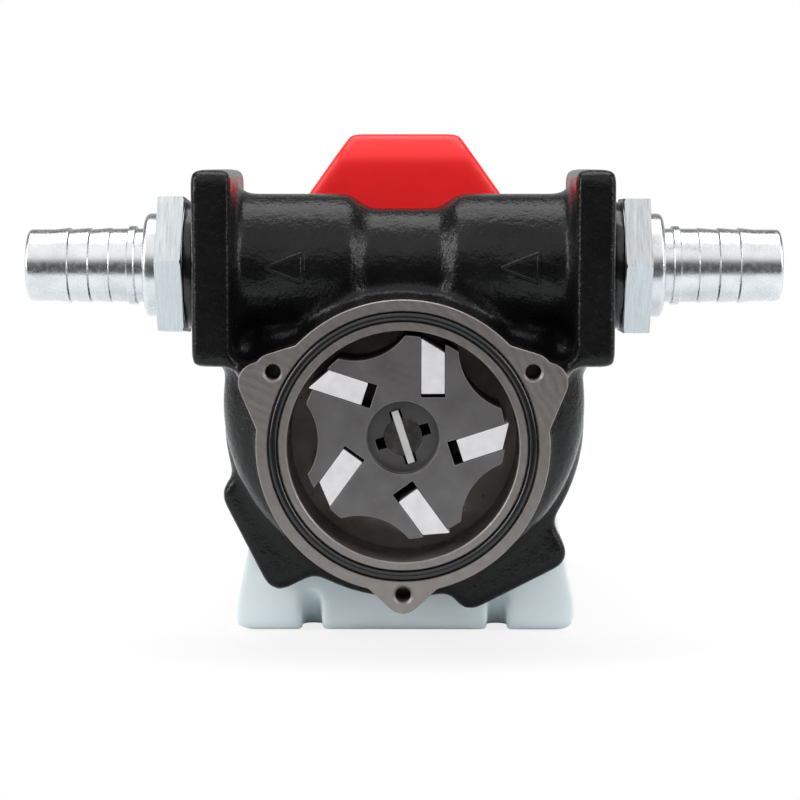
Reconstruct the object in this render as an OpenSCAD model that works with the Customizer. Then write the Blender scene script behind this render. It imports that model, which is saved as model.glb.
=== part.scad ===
// Portable diesel transfer pump, seen with its front cover taken off: a five-vane
// pump on a cast-iron body, driven by a direct-current motor, on a steel bracket.
// Millimetres. +Z up, the open pump face looks along -Y, the inlet is on +X.
// The origin is the centre of the four base holes, on the floor.

/* [Layout] */
// Height of the rotor axis above the floor
axis_h = 62; // [58:0.5:80]
// Rise of the port axis over the rotor axis
port_rise = 43.8; // [42:0.1:50]
// Distance from the port axis forward to the machined face
face_reach = 31; // [30:0.5:38]
// Distance from the port axis back to the rear face of the casting
back_reach = 22; // [21:0.5:28]
// Distance from the bracket's web back to the centre of the base holes
hole_set_back = 58; // [50:1:62]

/* [Pump chamber] */
// Radius of the pump bore
bore_r = 30.5; // [30.4:0.05:31]
// Height of the rotor axis over the axis of the bore
ecc = 2.4; // [1.8:0.05:2.5]
// Depth of the pump bore
chamber_d = 24; // [18:0.5:25]
// Outer radius of the machined front ring
ring_r = 38.6; // [37.8:0.1:40]
// Inner radius of the O-ring groove
groove_r = 32.7; // [32:0.1:33.5]
// Width of the O-ring groove
groove_w = 2.9; // [2.6:0.1:3.2]
// Depth of the O-ring groove
groove_d = 2; // [1.5:0.1:2.2]
// Thickness of the O-ring
oring_t = 2.4; // [2:0.1:2.5]
// Side length of each flow passage between port and chamber
passage_w = 12; // [8:0.5:14]

/* [Cover ears] */
// Number of ears with a tapped hole
ear_count = 3; // [2:1:5]
// Diameter of the circle through the tapped holes
ear_pcd = 78.5; // [77:0.5:82]
// Radius of each ear's round end
ear_r = 4.9; // [4.4:0.1:6]
// Radius of the tapped hole
ear_hole_r = 2.1; // [1.6:0.1:2.6]
// Depth of the tapped hole
ear_hole_d = 12; // [8:0.5:16]
// Width of the countersink at the tapped hole
ear_sink = 0.6; // [0.3:0.1:0.9]

/* [Casting body] */
// Radius of the round belly behind the ring
belly_r = 49.3; // [47:0.1:51]
// Height of the belly's centre over the rotor axis
belly_rise = 6; // [4:0.5:7]
// Depth of the belly's rounded front shoulder
shoulder_d = 13; // [9:0.5:14]
// Radius of the rear flange between its lugs
rear_r = 50; // [48.5:0.5:52]
// Thickness of the rear flange and of its lugs
rear_t = 12; // [9:0.5:14]
// Reach of each lug from the axis of the bore
lug_reach = 54.2; // [53:0.2:57]
// Width of each lug
lug_w = 34; // [28:0.5:38]
// Sideways shift of each lug from its radius
lug_shift = 8; // [5:0.5:10]
// Turn of the four lugs from the horizontal
lug_turn = 27; // [22:1:32]
// Corner radius of the lugs
lug_corner = 4.5; // [2:0.5:8]

/* [Port tube and flanges] */
// Radius of the port tube
tube_r = 19.3; // [18.8:0.1:20.5]
// Radius of the drawn-in middle of the tube
waist_r = 15.4; // [14:0.1:17]
// Half length of the drawn-in middle
waist_half = 9.4; // [7:0.2:12]
// Length of each sloped shoulder of the middle
waist_slope = 5.5; // [3:0.5:8]
// Side of the square port flanges
flange_w = 51.6; // [46:0.2:56]
// Thickness of the port flanges
flange_t = 10.2; // [8:0.2:12]
// Distance from the middle to the outer face of each flange
flange_out = 55.6; // [54:0.2:60]
// Corner radius of the port flanges
flange_corner = 2.4; // [1:0.2:4]
// Radius of the port thread
thread_r = 15.1; // [14:0.1:16]
// Depth of the port thread
thread_d = 16; // [12:0.5:20]
// Radius of the port bore past the thread
port_r = 12.4; // [11:0.1:13]
// Half thickness of the wall between the two ports
wall_half = 12; // [10:0.5:14]

/* [Flow arrows] */
// Length of each raised arrow
arrow_l = 10.5; // [8:0.5:12]
// Height of each raised arrow
arrow_h = 8.2; // [6:0.2:10]
// Width of the raised line
arrow_line = 1.1; // [0.8:0.1:1.5]
// Height of the raised line over the tube
arrow_rise = 0.6; // [0.4:0.1:1]
// Distance from the middle to the centre of each arrow
arrow_x = 32; // [26:0.5:36]

/* [Rotor] */
// Radius of the rotor's rim
rotor_r = 26.8; // [26:0.1:27]
// Radius of the scallops between the arms
scallop_r = 16.4; // [12:0.2:20]
// Radius that the scallops reach in to
scallop_in = 22.3; // [21:0.1:24]
// Angle from the first slot to the middle of its arm
arm_turn = 17; // [14:1:20]
// Sideways offset of the slots from the rotor axis
slot_off = 7.85; // [7:0.05:8.5]
// Distance along the slot from the rotor axis to its inner end
slot_in = 10.65; // [10.2:0.05:11.5]
// Width of the slots
slot_w = 6.4; // [5.6:0.05:6.8]
// Radius of the hub's counterbore
hub_r = 9.6; // [9:0.1:10]
// Depth of the hub's counterbore
hub_d = 3; // [1:0.1:4]
// Width of the keyways
key_w = 3; // [2.4:0.1:3.4]
// Reach of the keyways from the rotor axis
key_reach = 7.3; // [6.8:0.1:8]
// Turn of the driven keyway from the vertical
key_turn = 18; // [0:1:36]

/* [Vanes] */
// Number of vanes
vane_count = 5; // [5:1:5]
// Thickness of each vane
vane_w = 6.1; // [5.3:0.05:6.2]
// Length of each vane on its longer side
vane_l = 14.4; // [13:0.1:14.8]
// Drop of the bevelled tip to the shorter side
vane_bevel = 3.7; // [2:0.1:5]
// Lift of the drawn-in vanes off the slot's inner end
vane_in_lift = 0.9; // [0.3:0.1:1.4]
// Lift of the thrown-out vanes off the slot's inner end
vane_out_lift = 2.45; // [1.6:0.05:2.5]

/* [Shaft and drive] */
// Radius of the motor shaft
shaft_r = 5; // [4.4:0.1:5.2]
// Thickness of the drive blade
blade_t = 1.9; // [1.4:0.1:2.2]
// Depth of the drive blade along the shaft
blade_d = 10; // [7:0.5:12]
// Radius of the ball bearings
bearing_r = 13; // [12:0.5:14]
// Width of the ball bearings
bearing_w = 8; // [6:0.5:8]
// Radius of the shaft seal
seal_r = 11; // [10:0.5:11.5]
// Width of the shaft seal
seal_w = 6.5; // [5:0.5:7]

/* [Bypass valve] */
// Radius of the valve seat's opening
seat_r = 4.4; // [3.5:0.1:5]
// Radius of the valve chamber
valve_r = 7; // [6.5:0.1:7.5]
// Radius of the poppet's head
poppet_r = 6.2; // [5.6:0.1:6.3]
// Radius of the poppet's stem
stem_r = 1.8; // [1.4:0.1:2]
// Opening travel of the poppet
poppet_travel = 2.5; // [1.5:0.1:2.8]

/* [Hose tails] */
// Width of the hexagon across its flats
hex_af = 36; // [35:0.5:38]
// Thickness of the hexagon
hex_t = 7; // [6:0.2:9]
// Radius of the collar beside the hexagon
collar_r = 14.1; // [12:0.1:16]
// Length of the collar
collar_l = 4.1; // [3:0.1:6]
// Radius of the neck
neck_r = 10; // [9.4:0.1:10.2]
// Radius of the stop ring
stop_r = 10.7; // [10.5:0.1:12]
// Length of the stop ring
stop_l = 2; // [1.6:0.1:4]
// Radius of the barb crests
barb_r = 10.2; // [10:0.05:10.6]
// Radius of the plain land at the end of the tail
land_r = 9.75; // [9.4:0.05:10]
// Distance from the stop ring to the first barb crest
barb_start = 4.9; // [4:0.1:6]
// Distance between barb crests
barb_pitch = 5.6; // [5:0.05:6.5]
// Number of barb crests
barb_count = 3; // [2:1:4]
// Distance from the middle to the end of each tail
tail_end = 102; // [100:0.5:112]
// Radius of the bore through the tail
tail_bore_r = 7.5; // [6:0.1:8]
// Thickness of the port seal
port_seal_t = 3.4; // [2.4:0.1:4]
// Radius of the port seal
port_seal_r = 17.2; // [16.5:0.1:17.5]
// Length of the strainer in the inlet
strainer_l = 20; // [12:0.5:21]
// Radius of the strainer
strainer_r = 11.4; // [10.5:0.1:11.6]

/* [Bracket] */
// Half width of the bracket's web
web_half = 48.6; // [46:0.2:52]
// Thickness of the bracket's steel
plate_t = 2.5; // [2:0.1:3]
// Height at which the sides of the web start to slant in
slant_h = 10; // [8:0.5:14]
// Width that each side of the web loses up to the rotor axis
slant_in = 11; // [8:0.5:13]
// Outer radius of the bend
bend_r = 4.5; // [3.5:0.1:6]
// Length of the foot, front to back
foot_l = 118; // [112:1:130]
// Distance that each side of the foot is drawn in from the web
foot_in = 3; // [2:0.2:5]
// Spacing of the base holes across
hole_span_x = 70; // [60:1:76]
// Spacing of the base holes front to back
hole_span_y = 76; // [60:1:84]
// Radius of the base holes
hole_r = 3.5; // [2.8:0.1:4.5]
// Distance from the middle to each pressed dart
dart_x = 26.5; // [22:0.5:32]
// Radius of the bump that each pressed dart makes on the inner side
dart_r = 5.2; // [4.6:0.1:6]
// Height of the darts on the web
dart_h = 9.5; // [7:0.5:12]

/* [Motor] */
// Radius of the motor tube
motor_r = 40; // [38:0.5:41]
// Wall of the motor tube
motor_wall = 2.5; // [2:0.1:3]
// Length of the motor tube
motor_l = 105; // [96:1:115]
// Thickness of the front bell
bell_t = 8; // [7:0.5:10]
// Depth of the rear end cap
cap_d = 16; // [13:0.5:18]
// Radius of the bell's spigot into the casting
spigot_r = 18; // [16:0.5:20]
// Diameter of the motor screws' circle
screw_pcd = 92; // [90:0.5:94]
// Turn of the motor screws from the horizontal
screw_turn = 35; // [32:1:38]
// Radius of the motor screws
screw_r = 3; // [2.5:0.1:3.2]
// Width of the motor screw heads across their flats
screw_af = 10; // [8:0.5:11]
// Height of the motor screw heads
screw_head = 4; // [3:0.2:5]
// Radius of the bell's screw ears
bell_ear_r = 7; // [6:0.2:7.5]
// Radius of the tie bolts
tie_r = 2.5; // [2:0.1:3]
// Distance from the shaft to each tie bolt
tie_off = 33.6; // [33:0.1:34]

/* [Armature] */
// Radius of the armature core
core_r = 27; // [24:0.5:28]
// Length of the armature core
core_l = 54; // [44:1:56]
// Number of winding slots in the core
core_slots = 12; // [8:1:16]
// Length of each winding head beyond the core
winding_l = 10; // [7:0.5:12]
// Radius of the commutator
comm_r = 11; // [9:0.5:12]
// Length of the commutator
comm_l = 14; // [10:0.5:15]
// Thickness of the magnets
magnet_t = 8; // [6:0.2:8.4]
// Angle that each magnet covers
magnet_arc = 116; // [100:1:124]

/* [Handle and switch] */
// Height of the handle's top over the rotor axis
handle_top = 79.7; // [76:0.1:84]
// Half width of the handle's flat top
top_half = 15.2; // [14:0.2:20]
// Half width of the handle's legs
leg_half = 28; // [25:0.5:30]
// Height of the handle's slanted sides
slant_drop = 18; // [15:0.5:20]
// Half width of the pad on the motor
pad_half = 19; // [17:0.5:21]
// Height of the facet that leans back at the handle's front top edge
facet_h = 6.2; // [4:0.2:9]
// Depth of that facet
facet_d = 4; // [2:0.5:6]
// Thickness of the front leg
front_leg = 13; // [11:0.5:16]
// Thickness of the rear leg
rear_leg = 24; // [23:0.5:28]
// Length of the handle, front to back
handle_l = 123; // [115:1:128]
// Thickness of the grip bar
grip_t = 14.5; // [12:0.5:17]
// Width of the switch body
switch_w = 13; // [11:0.5:15]
// Height of the switch body
switch_h = 19; // [17:0.5:20]
// Depth of the switch body
switch_d = 15; // [12:0.5:16]
// Width of the switch bezel's rim
bezel_w = 1.5; // [1:0.1:2]
// Thickness of the switch bezel
bezel_t = 1.8; // [1.2:0.1:2.4]
// Tilt of the rocker at rest, and its travel to either side of level
rocker_tilt = 11; // [8:1:12]
// Radius of the cable gland's bore
gland_bore_r = 3.2; // [2.5:0.1:4]
// Radius of the cable gland's body
gland_r = 6; // [5.2:0.1:6.5]
// Length of the cable gland's nut
gland_l = 9; // [7:0.5:12]

/* [Hidden] */
$fn = 64;
// Overrun of every cut past the faces it goes through
over = 1;
// Clearances: running fit of the shaft, seated parts, rotor ends, and parts that move past others
fit_c = 0.05;
seat_c = 0.1;
rotor_c = 0.15;
run_c = 0.3;
// Places along Y
web_y = -hole_set_back;
port_y = web_y - back_reach;
face_y = port_y - face_reach;
floor_y = face_y + chamber_d;
rotor_y = face_y + rotor_c;
rotor_d = chamber_d - 2 * rotor_c;
bell_y = web_y + plate_t;
tube_y = bell_y + bell_t;
cap_y = tube_y + motor_l;
motor_end_y = cap_y + cap_d;
// Places along Z
port_z = axis_h + port_rise;
bore_z = axis_h - ecc;
belly_z = axis_h + belly_rise;
vane_step = 360 / vane_count;
// Rotor details
scallop_c = scallop_in + scallop_r;
shaft_bore_r = shaft_r + fit_c;
blade_half = key_reach - seat_c;
shaft_y = rotor_y + hub_d;
// How far each vane stands off the inner end of its slot
vane_lifts = [vane_in_lift, vane_out_lift, vane_out_lift, vane_in_lift, vane_out_lift];
// Ear roots and shoulder of the casting
ear_pcd_r = ear_pcd / 2;
ear_first = 30;
ear_root_r = ring_r - ear_r;
belly_front_y = port_y - shoulder_d;
ring_back_y = belly_front_y + shoulder_d / 2;
// Skin left in front of each flow passage
passage_skin = 3.8;
// Seal pocket and bearings
seal_wall = 4;
seal_y = floor_y + seal_wall;
lip_r = shaft_r + fit_c;
cap_wall = 4;
rear_bearing_y = motor_end_y - cap_wall - bearing_w;
race_groove_share = 0.3;
// Armature places, from the front bell back, each keeping its share of the tube
core_gap = 9;
end_room = 8;
stack_l = core_gap + 2 * winding_l + core_l + comm_l + end_room;
stack_share = motor_l / stack_l;
core_span = core_l * stack_share;
head_span = winding_l * stack_share;
comm_span = comm_l * stack_share;
core_y = tube_y + head_span + core_gap * stack_share;
core_slot_w = 3;
core_slot_d = 7;
winding_square_share = 0.7;
winding_back_y = core_y + core_span + head_span;
comm_y = winding_back_y + run_c;
comm_slot_w = 0.6;
comm_slot_d = 1;
magnet_r = motor_r - motor_wall - seat_c;
magnet_l = core_span;
brush_y = comm_y + comm_span / 2;
brush_w = 8;
brush_h = 6;
brush_l = 11;
brush_in_r = comm_r + run_c;
holder_t = 2.5;
holder_y = comm_y + comm_span + run_c;
guide_wall = 1.5;
spring_r = 2.4;
spring_wire = 0.8;
// Tie bolts
bolt_head_share = 1.8;
// Bell details
spigot_d = 2.4;
register_d = 4;
bell_hole_r = screw_r + seat_c;
lug_bite = 9;
// Valve details, along X from the middle
seat_setback = 5;
seat_x = wall_half - seat_setback;
poppet_t = 2.2;
guide_t = 3.6;
stem_play = 0.1;
valve_y = port_y;
flow_hole_r = 1.5;
flow_hole_count = 4;
// Port seal and hose tail places along X, outward from the middle
seal_x0 = flange_out;
hex_x0 = flange_out + port_seal_t;
collar_x0 = hex_x0 + hex_t;
neck_x0 = collar_x0 + collar_l;
neck_l = 2.6;
stop_x0 = neck_x0 + neck_l;
barb_x0 = stop_x0 + stop_l + barb_start;
strainer_rim_t = 0.5;
thread_x0 = flange_out - thread_d + strainer_rim_t + fit_c;
last_barb_x = barb_x0 + (barb_count - 1) * barb_pitch;
barb_taper = 4;
collar_round = 1.6;
end_round = 1;
hex_corner_r = hex_af / 2 / cos(30);
strainer_wall = 0.8;
strainer_slots = 6;
strainer_slot_w = 2;
strainer_rim = 2;
// Bracket
foot_half = web_half - foot_in;
web_corner = 4;
foot_corner = 7;
web_disc_r = motor_r + plate_t;
web_hole_r = spigot_r + seat_c;
dart_inner_r = dart_r - plate_t;
// Motor outline
cap_round = 6;
cap_shell = 3;
// Handle
handle_y = bell_y + plate_t;
handle_end_y = handle_y + handle_l;
handle_z = axis_h + handle_top;
pad_z = axis_h + motor_r;
skirt_h = 7;
skirt_rise = 4;
ledge_l = 11;
ledge_t = 4.5;
gap_y0 = handle_y + front_leg;
gap_y1 = handle_end_y - rear_leg;
gap_top_z = handle_z - grip_t;
gap_low_z = pad_z + ledge_t;
handle_round = 3;
handle_screw_r = 2;
handle_screw_head_r = 3.6;
handle_screw_head = 2.2;
handle_screw_in = handle_round + handle_screw_head_r + seat_c;
handle_margin = 5.5;
switch_z = handle_z - switch_h / 2 - handle_margin;
switch_y = handle_end_y;
rocker_frame_w = 1;
rocker_frame_h = 1.2;
rocker_w = switch_w - 2 * rocker_frame_w;
rocker_h = switch_h - 2 * rocker_frame_h;
rocker_depth = 5;
rocker_pin_r = 1.2;
rocker_sink = 1.2;
rocker_pivot_y = switch_y + bezel_t - rocker_sink;
rocker_crown = 2.6;
rocker_foot_share = 0.55;
rocker_side_share = 0.94;
rocker_edge_share = 0.88;
rocker_dip_share = 0.45;
gland_y = handle_end_y - rear_leg / 2;
gland_rise = 2.5;
gland_z = gap_low_z + gland_r + gland_rise;
gland_hex_r = 8;
gland_thread_l = 7;
gland_neck_share = 0.85;
gland_body_share = 0.7;
gland_mouth_share = 0.8;
lead_r = gland_bore_r + run_c;

// A flat shape drawn as seen from the front, made solid from one Y to a larger Y
module slab(y_front, y_back) {
    translate([0, y_back, 0])
        rotate([90, 0, 0])
            linear_extrude(y_back - y_front)
                children();
}

// A flat shape drawn as seen from +X, with Y to the right, made solid over a width about X = 0
module across_x(width) {
    translate([-width / 2, 0, 0])
        rotate([90, 0, 90])
            linear_extrude(width)
                children();
}

// A profile of radius and Y turned about a line along Y at the height z
module turned_y(z) {
    translate([0, 0, z])
        rotate([-90, 0, 0])
            rotate_extrude()
                children();
}

// A profile of radius and X turned about a line along X
module turned_x(y, z) {
    translate([0, y, z])
        rotate([0, 90, 0])
            rotate_extrude()
                children();
}

// A round bar along Y
module bar_y(x, z, r, y_front, y_back) {
    slab(y_front, y_back)
        translate([x, z])
            circle(r);
}

// A round bar along X
module bar_x(y, z, r, x_low, x_high) {
    translate([x_low, y, z])
        rotate([0, 90, 0])
            cylinder(r = r, h = x_high - x_low);
}

// A rectangle with round corners, centred
module round_rect(w, h, r) {
    square([w - 2 * r, h], center = true);
    square([w, h - 2 * r], center = true);
    for (sx = [-1, 1], sz = [-1, 1])
        translate([sx * (w / 2 - r), sz * (h / 2 - r)])
            circle(r);
}

// A round end joined to a larger circle at the origin by its two tangents
module tangent_ear(big_r, small_r, reach) {
    lean = acos((big_r - small_r) / reach);
    translate([reach, 0])
        circle(small_r);
    polygon([
        [big_r * cos(lean), big_r * sin(lean)],
        [reach + small_r * cos(lean), small_r * sin(lean)],
        [reach + small_r * cos(lean), -small_r * sin(lean)],
        [big_r * cos(lean), -big_r * sin(lean)]
    ]);
}

module each_ear() {
    for (i = [0 : ear_count - 1])
        translate([0, bore_z])
            rotate(ear_first + i * 360 / ear_count)
                children();
}

module each_motor_screw() {
    for (i = [0 : 3])
        translate([0, axis_h])
            rotate(screw_turn + i * 90)
                translate([screw_pcd / 2, 0])
                    children();
}

// The raised outline of a triangle that points to -X, on the front of the port tube
module arrow_outline() {
    half_l = arrow_l / 2;
    half_h = arrow_h / 2;
    share = 1 - arrow_line / arrow_h * 3;
    shift = arrow_line / 2;
    difference() {
        polygon([[-half_l, 0], [half_l, half_h], [half_l, -half_h]]);
        translate([shift, 0])
            polygon([[-half_l * share, 0], [half_l * share, half_h * share],
                [half_l * share, -half_h * share]]);
    }
}

module flow_arrow(x) {
    difference() {
        intersection() {
            bar_x(port_y, port_z, tube_r + arrow_rise, x - arrow_l, x + arrow_l);
            slab(port_y - tube_r - over, port_y - tube_r / 2)
                translate([x, port_z])
                    arrow_outline();
        }
        bar_x(port_y, port_z, tube_r - arrow_rise, x - 2 * arrow_l, x + 2 * arrow_l);
    }
}

module port_tube() {
    inner = flange_out - flange_t / 2;
    turned_x(port_y, port_z)
        polygon([
            [0, -inner], [tube_r, -inner],
            [tube_r, -waist_half - waist_slope], [waist_r, -waist_half],
            [waist_r, waist_half], [tube_r, waist_half + waist_slope],
            [tube_r, inner], [0, inner]
        ]);
}

module port_flange(side) {
    translate([side * (flange_out - flange_t / 2), port_y, port_z])
        rotate([0, 90, 0])
            translate([0, 0, -flange_t / 2])
                linear_extrude(flange_t)
                    round_rect(flange_w, flange_w, flange_corner);
}

// Half the section of a drum about the Y axis, with one rounded edge at y_edge
module drum_profile(r, edge, y_edge, y_flat) {
    toward = sign(y_flat - y_edge);
    y_round = y_edge + toward * edge;
    translate([0, min(y_round, y_flat)])
        square([r, abs(y_flat - y_round)]);
    translate([0, min(y_edge, y_flat)])
        square([r - edge, abs(y_flat - y_edge)]);
    translate([r - edge, y_round])
        intersection() {
            circle(edge);
            translate([0, toward > 0 ? -edge : 0])
                square(edge);
        }
}

// The belly behind the ring, with its large rounded front shoulder
module belly() {
    turned_y(belly_z)
        drum_profile(belly_r, shoulder_d, belly_front_y, web_y - rear_t / 2);
}

module lugs() {
    for (i = [0 : 3])
        slab(web_y - rear_t, web_y)
            translate([0, bore_z])
                rotate(lug_turn + i * 90)
                    translate([lug_reach / 2, lug_shift])
                        round_rect(lug_reach, lug_w, lug_corner);
}

module ears() {
    slab(face_y, ring_back_y)
        each_ear()
            tangent_ear(ear_root_r, ear_r, ear_pcd_r);
}

// Solid outside form of the casting, before anything is bored
module casting_form() {
    bar_y(0, bore_z, ring_r, face_y, ring_back_y + over);
    ears();
    belly();
    bar_y(0, axis_h, rear_r, web_y - rear_t, web_y);
    lugs();
    port_tube();
    for (side = [-1, 1]) {
        port_flange(side);
        flow_arrow(side * arrow_x);
    }
}

module port_bore(side) {
    x_in = side * wall_half;
    x_thread = side * (flange_out - thread_d);
    x_out = side * (flange_out + over);
    bar_x(port_y, port_z, port_r, min(x_in, x_out), max(x_in, x_out));
    bar_x(port_y, port_z, thread_r, min(x_thread, x_out), max(x_thread, x_out));
}

// A passage from the port bore down through the roof of the chamber
module passage(side) {
    x_mid = side * (wall_half + passage_w / 2);
    roof_z = bore_z + bore_r / 2;
    passage_y0 = port_y - tube_r + passage_skin;
    translate([x_mid - passage_w / 2, passage_y0, roof_z])
        cube([passage_w, floor_y - passage_y0 - over, port_z - roof_z]);
}

module pump_casting() {
    color([0.07, 0.07, 0.075])
        difference() {
            casting_form();
            bar_y(0, bore_z, bore_r, face_y - over, floor_y);
            turned_y(bore_z)
                translate([groove_r, face_y - over])
                    square([groove_w, groove_d + over]);
            slab(face_y - over, face_y + ear_hole_d)
                each_ear()
                    translate([ear_pcd_r, 0])
                        circle(ear_hole_r);
            for (i = [0 : ear_count - 1])
                translate([0, 0, bore_z])
                    rotate([0, -ear_first - i * 360 / ear_count, 0])
                        translate([ear_pcd_r, 0, 0])
                            rotate([-90, 0, 0])
                                rotate_extrude()
                                    polygon([
                                        [0, face_y - over], [ear_hole_r + ear_sink + over, face_y - over],
                                        [ear_hole_r, face_y + ear_sink], [0, face_y + ear_sink]
                                    ]);
            for (side = [-1, 1]) {
                port_bore(side);
                passage(side);
            }
            bar_x(valve_y, port_z, seat_r, -wall_half - over, wall_half + over);
            bar_x(valve_y, port_z, valve_r, -seat_x, wall_half + over);
            bar_y(0, axis_h, shaft_r + run_c, floor_y - over, web_y + over);
            bar_y(0, axis_h, seal_r, seal_y, web_y + over);
            bar_y(0, axis_h, spigot_r + seat_c, web_y - spigot_d, web_y + over);
            slab(web_y - lug_bite, web_y + over)
                each_motor_screw()
                    circle(screw_r + fit_c);
        }
}

module cover_o_ring() {
    color([0.02, 0.02, 0.02])
        turned_y(bore_z)
            translate([groove_r + groove_w / 2, face_y + groove_d - oring_t / 2])
                circle(oring_t / 2, $fn = 24);
}

module slot_place(i) {
    translate([0, axis_h])
        rotate(-i * vane_step)
            translate([slot_off, slot_in])
                children();
}

module keyway(turn) {
    translate([0, axis_h])
        rotate(turn)
            square([2 * key_reach, key_w], center = true);
}

module rotor() {
    color([0.45, 0.44, 0.43])
        difference() {
            slab(rotor_y, rotor_y + rotor_d)
                difference() {
                    translate([0, axis_h])
                        circle(rotor_r);
                    for (i = [0 : vane_count - 1]) {
                        translate([0, axis_h])
                            rotate(90 - arm_turn + vane_step / 2 - i * vane_step)
                                translate([scallop_c, 0])
                                    circle(scallop_r);
                        slot_place(i)
                            translate([-slot_w / 2, 0])
                                square([slot_w, rotor_r]);
                    }
                    translate([0, axis_h])
                        circle(shaft_bore_r);
                    keyway(90 + key_turn);
                    keyway(key_turn);
                }
            bar_y(0, axis_h, hub_r, rotor_y - over, rotor_y + hub_d);
        }
}

module vane(i) {
    color([0.88, 0.87, 0.83])
        slab(rotor_y, rotor_y + rotor_d)
            slot_place(i)
                translate([-vane_w / 2, vane_lifts[i]])
                    polygon([[0, 0], [vane_w, 0], [vane_w, vane_l - vane_bevel], [0, vane_l]]);
}

module drive_blade() {
    color([0.75, 0.75, 0.74])
        slab(shaft_y - blade_t / 2, shaft_y + blade_d)
            translate([0, axis_h])
                rotate(90 + key_turn)
                    square([2 * blade_half, blade_t], center = true);
}

module motor_shaft() {
    color([0.6, 0.6, 0.6])
        difference() {
            bar_y(0, axis_h, shaft_r, shaft_y, rear_bearing_y + bearing_w);
            slab(shaft_y - over, shaft_y + blade_d + fit_c)
                translate([0, axis_h])
                    rotate(90 + key_turn)
                        square([3 * shaft_r, blade_t + 2 * fit_c], center = true);
        }
}

module shaft_seal() {
    color([0.1, 0.1, 0.1])
        turned_y(axis_h)
            polygon([
                [lip_r, seal_y + seat_c], [seal_r - fit_c, seal_y + seat_c],
                [seal_r - fit_c, seal_y + seal_w], [seal_r - seal_wall / 2, seal_y + seal_w],
                [seal_r - seal_wall / 2, seal_y + seal_wall / 2], [lip_r, seal_y + seal_wall / 2]
            ]);
}

// A sealed ball bearing, with its shields sunk between the two races
module bearing(y) {
    race = (bearing_r - shaft_r) * race_groove_share;
    sink = bearing_w / 10;
    turned_y(axis_h)
        polygon([
            [shaft_r + fit_c, y], [shaft_r + race, y], [shaft_r + race, y + sink],
            [bearing_r - race, y + sink], [bearing_r - race, y], [bearing_r - fit_c, y],
            [bearing_r - fit_c, y + bearing_w], [bearing_r - race, y + bearing_w],
            [bearing_r - race, y + bearing_w - sink], [shaft_r + race, y + bearing_w - sink],
            [shaft_r + race, y + bearing_w], [shaft_r + fit_c, y + bearing_w]
        ]);
}

module front_bearing() {
    color([0.7, 0.7, 0.72])
        bearing(tube_y - bearing_w + fit_c);
}

module rear_bearing() {
    color([0.7, 0.7, 0.72])
        bearing(rear_bearing_y);
}

module armature_core() {
    color([0.4, 0.4, 0.42])
        slab(core_y, core_y + core_span)
            translate([0, axis_h])
                difference() {
                    circle(core_r);
                    circle(shaft_r);
                    for (i = [0 : core_slots - 1])
                        rotate(i * 360 / core_slots)
                            translate([core_r - core_slot_d, -core_slot_w / 2])
                                square([core_slot_d + over, core_slot_w]);
                }
}

module winding_head(y) {
    outer = core_r - core_slot_w;
    turned_y(axis_h)
        polygon([
            [shaft_r + core_slot_w, y], [outer, y], [outer, y + head_span * winding_square_share],
            [outer - core_slot_w, y + head_span], [shaft_r + 2 * core_slot_w, y + head_span],
            [shaft_r + core_slot_w, y + head_span * winding_square_share]
        ]);
}

module windings() {
    color([0.65, 0.3, 0.12]) {
        winding_head(core_y + core_span);
        translate([0, 2 * core_y, 0])
            mirror([0, 1, 0])
                winding_head(core_y);
    }
}

module commutator() {
    color([0.72, 0.42, 0.2])
        slab(comm_y, comm_y + comm_span)
            translate([0, axis_h])
                difference() {
                    circle(comm_r);
                    circle(shaft_r);
                    for (i = [0 : core_slots - 1])
                        rotate(i * 360 / core_slots)
                            translate([comm_r - comm_slot_d, -comm_slot_w / 2])
                                square([comm_slot_d + over, comm_slot_w]);
                }
}

module magnets() {
    reach = 2 * magnet_r;
    color([0.16, 0.16, 0.17])
        slab(core_y, core_y + magnet_l)
            translate([0, axis_h])
                intersection() {
                    difference() {
                        circle(magnet_r);
                        circle(magnet_r - magnet_t);
                    }
                    for (side = [0, 180])
                        rotate(side)
                            polygon([
                                [0, 0],
                                [reach * cos(magnet_arc / 2), reach * sin(magnet_arc / 2)],
                                [reach, 0],
                                [reach * cos(magnet_arc / 2), -reach * sin(magnet_arc / 2)]
                            ]);
                }
}

module motor_tube() {
    color([0.06, 0.06, 0.065])
        slab(tube_y, cap_y)
            translate([0, axis_h])
                difference() {
                    circle(motor_r);
                    circle(motor_r - motor_wall);
                }
}

// The four ears of the bell, grown by a margin
module bell_ears(margin) {
    for (i = [0 : 3])
        translate([0, axis_h])
            rotate(screw_turn + i * 90)
                tangent_ear(motor_r - bell_ear_r + margin, bell_ear_r + margin, screw_pcd / 2);
}

module motor_bell() {
    color([0.1, 0.1, 0.105])
        difference() {
            union() {
                slab(bell_y, tube_y) {
                    translate([0, axis_h])
                        circle(motor_r);
                    bell_ears(0);
                }
                bar_y(0, axis_h, spigot_r, web_y - spigot_d + seat_c, bell_y + over);
                bar_y(0, axis_h, magnet_r, tube_y - over, tube_y + register_d);
            }
            bar_y(0, axis_h, shaft_r + run_c, web_y - spigot_d - over, tube_y + register_d + over);
            bar_y(0, axis_h, bearing_r, tube_y - bearing_w, tube_y + register_d + over);
            bar_y(0, axis_h, magnet_r - motor_wall, tube_y + fit_c, tube_y + register_d + over);
            slab(web_y, tube_y + over)
                each_motor_screw()
                    circle(bell_hole_r);
            for (side = [-1, 1])
                bar_y(0, axis_h + side * tie_off, tie_r, bell_y + plate_t, tube_y + register_d + over);
        }
}

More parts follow.
